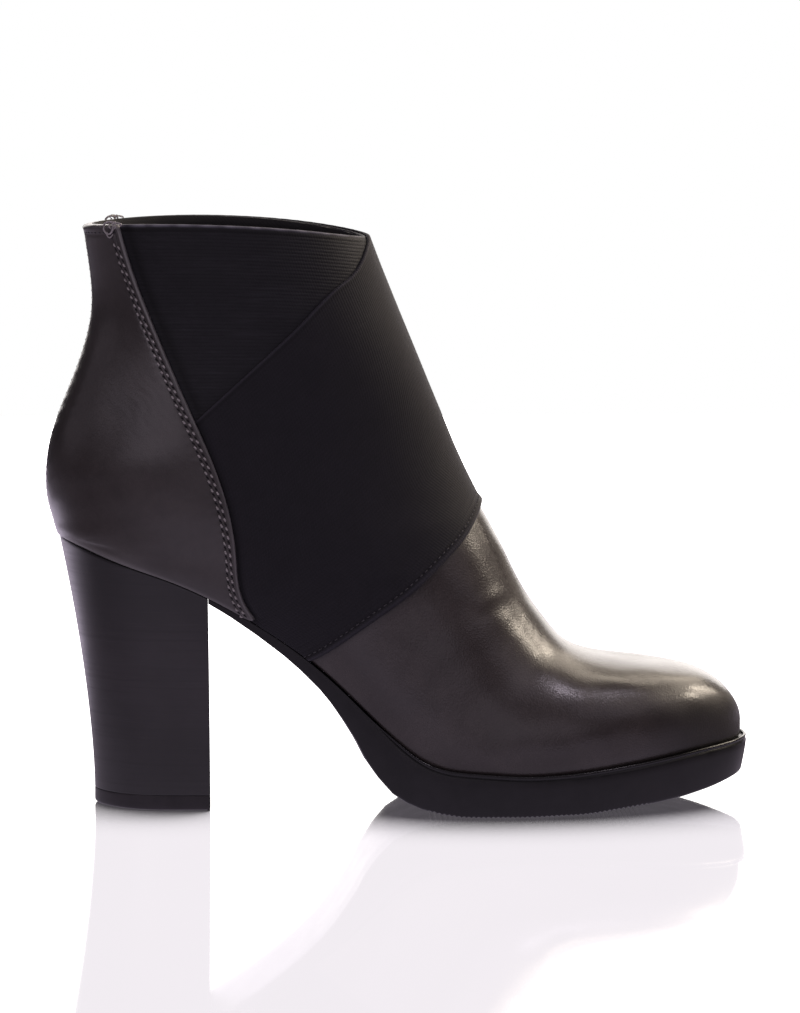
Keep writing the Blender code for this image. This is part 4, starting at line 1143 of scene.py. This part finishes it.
def build_outsole():
    first = row_at(BREAST_X + 0.1)
    xs = np.concatenate([np.arange(base_point(first)[0], 6.0, 1.2 / FINE), np.arange(6.0, 84.0, TOOTH_PITCH / 4 / FINE)])
    rows = np.concatenate([[row_at(x) for x in xs], TIP_ROW - np.linspace(math.sqrt(TIP_ROW - row_at(84.0)), 0.0, int(46 * FINE)) ** 2])
    loops, marks = [], {"painted_shade": [], "lip": [], "pale_edge_and_highlight": []}
    for s in rows:
        x, z = base_point(s)
        top, rim = z - GAP, ledge(x)
        lip = float(ease((x + 12.0) / 12.0))
        notch = tooth(x)
        lift = 0.4 * float(ease((x - 40.0) / 15.0) * ease((80.0 - x) / 14.0))
        half = {}
        for side in (-1, 1):
            profile = []     # out, z, painted shade, lip
            bead = 0.06 + 0.46 * lip
            # Painted shade in the crevice beside the upper, the furrow under the lip and the tread's notches
            profile.append((rim - 2 * bead - 0.30, top - 0.25 * lip, 0.9, 0))
            for turn in (200, 160, 128, 100, 72, 44, 15, -15, -42):
                a = math.radians(turn)
                profile.append((rim - bead + bead * math.cos(a), top + 0.55 * lip + bead * math.sin(a), 0, 1))
            profile.append((rim - 0.34 * lip - 0.03, top - 0.12 * lip - 0.12, lip, 0))
            profile.append((rim - 0.08 * lip - 0.02, top - 0.50 * lip - 0.25, 0.3 * lip, 0))
            edge = plan_edge(s, side, rim)
            tall = max(top - floor_z(edge[0]), 0.5)
            taper = SOLE_TAPER * min(1.0, tall / 10.0)
            corner = min(SOLE_EDGE, 0.45 * tall) * 0.62
            start, stop = top - 0.8 * lip - 0.35, top - tall + corner
            for u in (0.0, 0.2, 0.4, 0.6, 0.8, 1.0):
                profile.append((rim - taper * u ** 1.25, start + (stop - start) * u, 0, 0))
            for turn in (22, 45, 68, 90):
                a = math.radians(turn)
                share = math.sin(a)
                profile.append((rim - taper - corner * (1 - math.cos(a)), stop - corner * share + 0.6 * notch * share + lift * share,
                                0.75 * notch * share, 0))
            half[side] = [(*plan_edge(s, side, q[0]), q[1], q[2], q[3]) for q in profile]
        low = {}
        for side in (-1, 1):
            q = half[side][-1]
            low[side] = np.array(q[:2])
        # Round the loop: across the top, down the medial side, back under, up the lateral side.
        loop = []
        a, b = np.array(half[-1][0][:2]), np.array(half[1][0][:2])
        for f in (0.25, 0.5, 0.75):
            q = a + (b - a) * f
            loop.append((q[0], q[1], top - 0.05, 0, 0))
        loop += half[1]
        for f in np.linspace(0.0, 1.0, 12)[1:-1]:
            q = low[1] + (low[-1] - low[1]) * f
            loop.append((q[0], q[1], floor_z(q[0]) + 0.55 * notch, 0.7 * notch, 0))
        loop += half[-1][::-1]
        loops.append(np.array(loop))
    loops = np.array(loops)
    count, wide = loops.shape[:2]
    points = loops[..., :3].reshape(-1, 3)
    points[:, 2] = np.maximum(points[:, 2], 0.0)
    faces = grid_faces(count, wide, closed=True) + [list(range(wide))]
    layers = {"painted_shade": loops[..., 3].ravel(), "lip": loops[..., 4].ravel(), "pale_edge_and_highlight": np.zeros(len(points))}
    return make("outsole_skin", points, faces, SOLE_LOOK, weld=0.002, layers=layers, replaces=("outsole",), sharp=50)


def heel_outline(round_corner=0.4):
    last = row_at(BREAST_X)
    rows = SEAT_ROW + (last - SEAT_ROW) * np.linspace(1.0, 0.0, int(64 * FINE)) ** 1.6
    lateral = [plan_edge(s, -1, WAIST_LEDGE) for s in rows[:-1]]
    medial = [plan_edge(s, 1, WAIST_LEDGE) for s in rows[::-1][1:]]
    back = [plan_edge(SEAT_ROW, 1, WAIST_LEDGE)]
    lateral = [q for q in lateral if q[0] < BREAST_X - round_corner]
    medial = [q for q in medial if q[0] < BREAST_X - round_corner]
    lat_end, med_end = plan_edge(last, -1, WAIST_LEDGE), plan_edge(last, 1, WAIST_LEDGE)
    def corner(end, side):
        turn = np.radians([0, 22, 45, 68, 90])
        return [np.array([BREAST_X - round_corner * (1 - math.sin(t)), end[1] - side * round_corner * (1 - math.cos(t))]) for t in turn]
    lat_arc = corner(lat_end, -1)[::-1]
    med_arc = corner(med_end, 1)
    breast = [med_arc[-1] + (lat_arc[0] - med_arc[-1]) * f for f in np.linspace(0, 1, 26)[1:-1]]
    return np.array(lat_arc + lateral + back + medial + med_arc + breast)


def heel_foot(seat):
    """The outline at the ground, from the outline at the seat."""
    low, high = seat[:, 0].min(), seat[:, 0].max()
    share = (seat[:, 0] - low) / (high - low)
    half = np.abs(seat[:, 1]).max()
    return np.stack([HEEL_BACK_X + (HEEL_FRONT_X - HEEL_BACK_X) * share, seat[:, 1] * HEEL_FOOT_HALF / half], axis=1)


def inset_ring(points, amount):
    """The outline drawn in by an amount, all round."""
    run = np.roll(points, -1, axis=0) - np.roll(points, 1, axis=0)
    run /= np.maximum(np.linalg.norm(run, axis=1, keepdims=True), 1e-9)
    side = np.stack([-run[:, 1], run[:, 0]], axis=1)
    if np.mean(np.sum(side * (points.mean(axis=0) - points), axis=1)) < 0:
        side = -side
    return points + side * amount


def fill_rings(points, faces, ring, height, flip):
    """Closes the last ring towards its middle with rings of the same count."""
    wide, start = len(ring), len(points) - len(ring)
    middle = ring.mean(axis=0)
    last = start
    for share in (0.66, 0.33):
        q = middle + (ring - middle) * share
        first = len(points)
        points.extend((x, y, height(x)) for x, y in q)
        for i in range(wide):
            k = (i + 1) % wide
            quad = [last + i, last + k, first + k, first + i]
            faces.append(quad[::-1] if flip else quad)
        last = first
    faces.append([last + i for i in (range(wide - 1, -1, -1) if flip else range(wide))])


def build_heel():
    seat = heel_outline()
    foot = heel_foot(seat)
    low = LIFT_THICK + 0.05
    levels = np.concatenate([[0.0, 0.0025, 0.006], np.linspace(0.012, 0.985, int(66 * FINE)), [0.993, 0.998, 1.0]])
    points, painted_shade = [], []
    wide = len(seat)
    tops = feather_z(seat[:, 0]) - GAP
    for r in levels:
        ring = np.stack([foot[:, 0] + (seat[:, 0] - foot[:, 0]) * r ** HEEL_FLARE_X,
                         foot[:, 1] + (seat[:, 1] - foot[:, 1]) * r ** HEEL_FLARE_Y], axis=1)
        inset = 0.12 * (1 - rounded(np.array(r), 0.005)) + 0.30 * (1 - rounded(np.array(1.0 - r), 0.008))
        ring = inset_ring(ring, float(inset))
        z = low + (tops - low) * r
        points.extend(np.column_stack([ring, z]).tolist())
        # Painted shade: dark lines where the heel meets the seat and the lift, and darker towards the bottom and the
        # top
        painted_shade += [float(0.8 * bell(r, 1.0, 0.006) + 0.35 * bell(r, 0.0, 0.005) + 0.6 * ease((0.5 - r) / 0.5) + 0.6 * ease((r - 0.6) / 0.35))] * wide
    faces = grid_faces(len(levels), wide, closed=True)
    base = [list(range(wide))]
    fill_rings(points, faces, np.array(points[-wide:])[:, :2], lambda x: float(feather_z(x)) - GAP, False)
    painted_shade += [0.0] * (len(points) - len(painted_shade))
    return make("heel_skin", points, faces + base, HEEL_LOOK, layers={"painted_shade": painted_shade}, replaces=("heel",), sharp=40)


def build_lift():
    foot = heel_foot(heel_outline())
    points = []
    wide = len(foot)
    stages = ((0.0, 0.95), (0.12, 0.55), (0.35, 0.25), (0.7, 0.06), (1.1, 0.0), (2.0, 0.0), (3.2, 0.0), (4.3, 0.0), (4.8, 0.02), (4.93, 0.06), (LIFT_THICK, 0.15))
    for z, inset in stages:
        points.extend(np.column_stack([inset_ring(foot, inset), np.full(wide, z)]).tolist())
    faces = grid_faces(len(stages), wide, closed=True) + [list(range(wide)), list(range((len(stages) - 1) * wide, len(stages) * wide))]
    count = len(points)
    # The lift's colour is lighter towards its ground edge
    layers = {"painted_shade": [0.0] * count, "lip": [0.0] * count, "pale_edge_and_highlight": np.repeat([0.3, 0.3, 0.2, 0.1, 0, 0, 0, 0, 0, 0, 0], wide)}
    return make("lift_skin", points, faces, LIFT_LOOK, layers=layers, replaces=("heel_top_lift",), sharp=50)


# ------------------------------------------------------------------ put together
lining = build_lining()
vamp, vamp_grid = build_vamp()
gore = build_gore()
strap, strap_grid, strap_from_low, strap_turned = build_strap()
counters = {side: build_counter(side) for side in (-1, 1)}
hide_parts("upper")
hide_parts("upper")

counter_sets, hole_shade_sets, top_sets, seam_sets = [], [], [], []
for side in (-1, 1):
    _, grid, fields = counters[side]
    tree = tree_of(grid)
    for d, start in ((1.8, 0.5), (3.2, 0.2)):
        line = level_line(fields["front"], d, grid, down=False)
        line = line[line[:, 2] < 188.0]
        counter_sets.append(stitch_paths(line, tree, EDGE_PITCH, 1.2, 0.22, slant=-0.42 * side, start=start))
        hole_shade_sets.append(stitch_paths(line, tree, EDGE_PITCH, 1.5, -0.2, slant=-0.5 * side, sink=0.26, start=start + 0.5))
    line = level_line(fields["top"], 2.4, grid)
    top_sets.append(stitch_paths(line[6:-6], tree, 2.4, 1.5, 0.05))
    line = level_line(-fields["seam"], -0.55, grid[:, :], down=False)
    seam_sets.append(stitch_paths(line[line[:, 2] > 92.0], tree, SEAM_PITCH, 1.1, 0.02, slant=side * 1.2))
build_stitches("stitches_counter", counter_sets, PALE_THREAD, 0.30)
build_stitches("stitches_top", top_sets, DARK_THREAD, 0.23)
build_stitches("stitches_back_seam", seam_sets, DARK_THREAD, 0.15)
# Painted shade: dark tubes where the needle holes would be
build_stitches("needle_hole_shade_counter", hole_shade_sets, HOLE_SHADE_LOOK, 0.38)
build_knots()

tree = tree_of(strap_grid)
strap_sets = [stitch_paths(level_line(strap_from_low, d, strap_turned), tree, STRAP_PITCH, 1.2, 0.12) for d in (2.45,)]
build_stitches("stitches_strap", strap_sets, STRAP_THREAD, 0.19)

build_outsole()
build_heel()
build_lift()
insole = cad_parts["insole"]
insole.data.materials.clear()
insole.data.materials.append(SOCK_LOOK)

# ------------------------------------------------------------------------ studio
AIM = Vector((0.0, 0.0, 0.0985)) + Vector(SHIFT * MM)
FLOOR_GLOW = 0.53


def build_floor():
    """A glossy white table. The camera sees it glowing evenly, darkened near the boot by a painted contact shadow; the
    glow that lights the boot has painted pools of light and a painted shadow band.
    """
    look = bpy.data.materials.new("studio_floor")
    look.use_nodes = True
    nodes, links = look.node_tree.nodes, look.node_tree.links
    shine = nodes["Principled BSDF"]
    shine.inputs["Base Color"].default_value = (0.0, 0.0, 0.0, 1.0)
    shine.inputs["Roughness"].default_value = 0.035
    shine.inputs["Emission Color"].default_value = (1.0, 0.955, 1.0, 1.0)
    shine.inputs["Emission Strength"].default_value = 0.88
    pale, glow, both = nodes.new("ShaderNodeBsdfDiffuse"), nodes.new("ShaderNodeEmission"), nodes.new("ShaderNodeAddShader")
    pale.inputs["Color"].default_value = (0.10, 0.09, 0.11, 1.0)
    glow.inputs["Color"].default_value = (1.0, 0.88, 1.10, 1.0)
    where, scale, far, fade = (nodes.new(kind) for kind in (
        "ShaderNodeTexCoord", "ShaderNodeMapping", "ShaderNodeVectorMath", "ShaderNodeMapRange"))
    scale.inputs["Location"].default_value = (0.03 / 0.30, 0.20 / 0.42, 0.0)
    scale.inputs["Scale"].default_value = (1.0 / 0.30, 1.0 / 0.42, 0.0)
    far.operation = "LENGTH"
    fade.interpolation_type = "SMOOTHSTEP"
    for key, value in (("From Min", 0.45), ("From Max", 1.15), ("To Min", FLOOR_GLOW), ("To Max", 0.0)):
        fade.inputs[key].default_value = value
    links.new(where.outputs["Object"], scale.inputs["Vector"])
    links.new(scale.outputs[0], far.inputs[0])
    links.new(far.outputs["Value"], fade.inputs["Value"])
    split = nodes.new("ShaderNodeSeparateXYZ")
    links.new(where.outputs["Object"], split.inputs[0])
    x, y = split.outputs["X"], split.outputs["Y"]

    def step(operation, a, b=None):
        node = nodes.new("ShaderNodeMath")
        node.operation = operation
        for k, value in enumerate((a, b)):
            if isinstance(value, float):
                node.inputs[k].default_value = value
            elif value is not None:
                links.new(value, node.inputs[k])
        return node.outputs[0]

    def ramp(value, *span):
        node = nodes.new("ShaderNodeMapRange")
        node.interpolation_type = "SMOOTHSTEP"
        for key, at in zip(("From Min", "From Max", "To Min", "To Max"), span):
            node.inputs[key].default_value = at
        links.new(value, node.inputs["Value"])
        return node.outputs["Result"]

    def patch(middle, size, strength):
        """A soft patch in the table's glow: painted light where strength is positive, painted shadow where it is
        negative.
        """
        total = None
        for value, at, wide in zip((x, y), middle, size):
            if wide:
                off = step("MULTIPLY", step("SUBTRACT", value, at), 1.0 / wide)
                square = step("MULTIPLY", off, off)
                total = step("ADD", total, square) if total else square
        return step("MULTIPLY", step("EXPONENT", step("MULTIPLY", total, -1.0)), strength)

    # Painted shadow: the glow the boot sees is dimmed in a band just in front of it
    lit = step("MULTIPLY", fade.outputs["Result"], step("ADD", patch((0.0, -0.11), (None, 0.05), -0.45), 1.0))
    # Painted light: brighter pools in the glow behind the boot and beside it on the left
    rear = step("MULTIPLY", ramp(y, 0.10, 0.45, 0.0, 1.4), ramp(x, -0.55, -0.35, 0.0, 1.0))
    beside = step("ADD", patch((-0.30, 0.18), (0.10, 0.10), 2.0), ramp(x, -0.75, -0.45, 0.14, 0.0))
    links.new(step("ADD", step("ADD", lit, rear), beside), glow.inputs["Strength"])
    # Painted contact shadow: the even glow the camera sees is darkened near the boot by occlusion
    contact_shadow = nodes.new("ShaderNodeAmbientOcclusion")
    contact_shadow.samples = 12
    contact_shadow.inputs["Distance"].default_value = 0.05
    links.new(ramp(contact_shadow.outputs["AO"], 0.52, 0.97, 0.04, 0.88), shine.inputs["Emission Strength"])
    links.new(pale.outputs[0], both.inputs[0])
    links.new(glow.outputs[0], both.inputs[1])
    ray, pick = nodes.new("ShaderNodeLightPath"), nodes.new("ShaderNodeMixShader")
    links.new(ray.outputs["Is Camera Ray"], pick.inputs[0])
    links.new(both.outputs[0], pick.inputs[1])
    links.new(shine.outputs[0], pick.inputs[2])
    links.new(pick.outputs[0], nodes["Material Output"].inputs["Surface"])
    mesh = bpy.data.meshes.new("studio_floor")
    low, high = (-1.2, -0.9), (1.2, 1.3)
    mesh.from_pydata([(x, y, -0.0003) for x, y in ((low[0], low[1]), (high[0], low[1]), (high[0], high[1]), (low[0], high[1]))],
                     [], [(0, 1, 2, 3)])
    mesh.materials.append(look)
    made = bpy.data.objects.new("studio_floor", mesh)
    bpy.context.scene.collection.objects.link(made)
    return made


floor = build_floor()


def lamp(name, azimuth, height, distance, size, radiance, colour=(1.0, 1.0, 1.0), only=None, roll=0.0, shape="ELLIPSE"):
    """A soft box that the boot sees at an azimuth from +X and a height, in degrees. size is
    in degrees too, and roll turns it in its own plane."""
    data = bpy.data.lights.new(name, "AREA")
    data.shape = shape
    data.size, data.size_y = (2 * distance * math.tan(math.radians(x / 2)) for x in size)
    data.energy = radiance * math.pi * data.size * data.size_y * (math.pi / 4 if shape == "ELLIPSE" else 1.0)
    data.color = colour
    thing = bpy.data.objects.new(name, data)
    bpy.context.scene.collection.objects.link(thing)
    a, e = math.radians(azimuth), math.radians(height)
    toward = Vector((math.cos(a) * math.cos(e), math.sin(a) * math.cos(e), math.sin(e)))
    thing.location = AIM + toward * distance
    turn = toward.to_track_quat("Z", "Y") @ Quaternion((0.0, 0.0, 1.0), math.radians(roll))
    thing.rotation_euler = turn.to_euler()
    thing.visible_camera = False
    if only:
        group = bpy.data.collections.new(name + "_lights")
        group.objects.link(only)
        thing.light_linking.receiver_collection = group
    return thing


CREAM, WHITE, LILAC = (1.0, 0.87, 0.71), (1.0, 0.95, 0.92), (1.0, 0.885, 1.02)
lamp("key_soft", 30, 41, 1.5, (48, 24), 3.3, CREAM, shape="RECTANGLE")
lamp("key_instep", 5, 31, 1.5, (12, 10), 20.0, CREAM)
lamp("key_toe", 27, 30, 1.5, (9, 18), 17.0, CREAM)
lamp("key_vamp", 61, 57, 1.5, (24, 6), 9.0, CREAM)
lamp("key_side", 66, 34, 1.5, (26, 26), 1.2, CREAM)
lamp("key_low", 60, 11, 1.5, (42, 24), 0.40, CREAM)
lamp("backdrop", 88, 14, 1.7, (60, 38), 2.2, WHITE)
lamp("overhead", 331, 66, 1.2, (9, 9), 12.0, LILAC)
lamp("top_soft", 305, 68, 1.3, (50, 30), 0.6, LILAC)
lamp("fill_left", 217, 30, 1.5, (58, 26), 1.0, LILAC)
lamp("spot_left", 235, 8, 1.5, (34, 6), 1.0, LILAC)
lamp("far_left", 172, 14, 1.5, (36, 16), 0.24, LILAC)
lamp("fill_front", 258, 16, 1.6, (70, 34), 0.50, LILAC)
lamp("fill_right", 318, 38, 1.5, (40, 30), 0.60, LILAC)
lamp("table_glow", 90, 10, 2.6, (90, 50), 2.0, (1.0, 1.0, 1.0), only=floor)

world = bpy.data.worlds.new("studio")
bpy.context.scene.world = world
world.use_nodes = True
nodes, links = world.node_tree.nodes, world.node_tree.links
nodes.clear()
path = nodes.new("ShaderNodeLightPath")
seen, other = nodes.new("ShaderNodeBackground"), nodes.new("ShaderNodeBackground")
seen.inputs["Color"].default_value, seen.inputs["Strength"].default_value = (1, 1, 1, 1), 1.0
other.inputs["Color"].default_value, other.inputs["Strength"].default_value = (1.0, 0.92, 1.05, 1), 0.02
both, out = nodes.new("ShaderNodeMixShader"), nodes.new("ShaderNodeOutputWorld")
links.new(path.outputs["Is Camera Ray"], both.inputs[0])
links.new(other.outputs[0], both.inputs[1])
links.new(seen.outputs[0], both.inputs[2])
links.new(both.outputs[0], out.inputs["Surface"])
bpy.context.scene.view_settings.view_transform = "Standard"

camera_data = bpy.data.cameras.new("camera")
camera_data.sensor_fit = "AUTO"
camera_data.sensor_width = 36.0
camera_data.lens = 36.0 * 4590.0 / 1013.0
camera_data.clip_end = 50.0
camera = bpy.data.objects.new("camera", camera_data)
bpy.context.scene.collection.objects.link(camera)
lift_angle = math.radians(6.8)
turn_angle = math.radians(-2.6)
from_boot = Vector((math.sin(turn_angle) * math.cos(lift_angle), -math.cos(turn_angle) * math.cos(lift_angle), math.sin(lift_angle)))
camera.location = AIM + Vector((0.0008, 0.0, 0.0)) + from_boot * 1.53
camera.rotation_euler = from_boot.to_track_quat("Z", "Y").to_euler()
bpy.context.scene.camera = camera
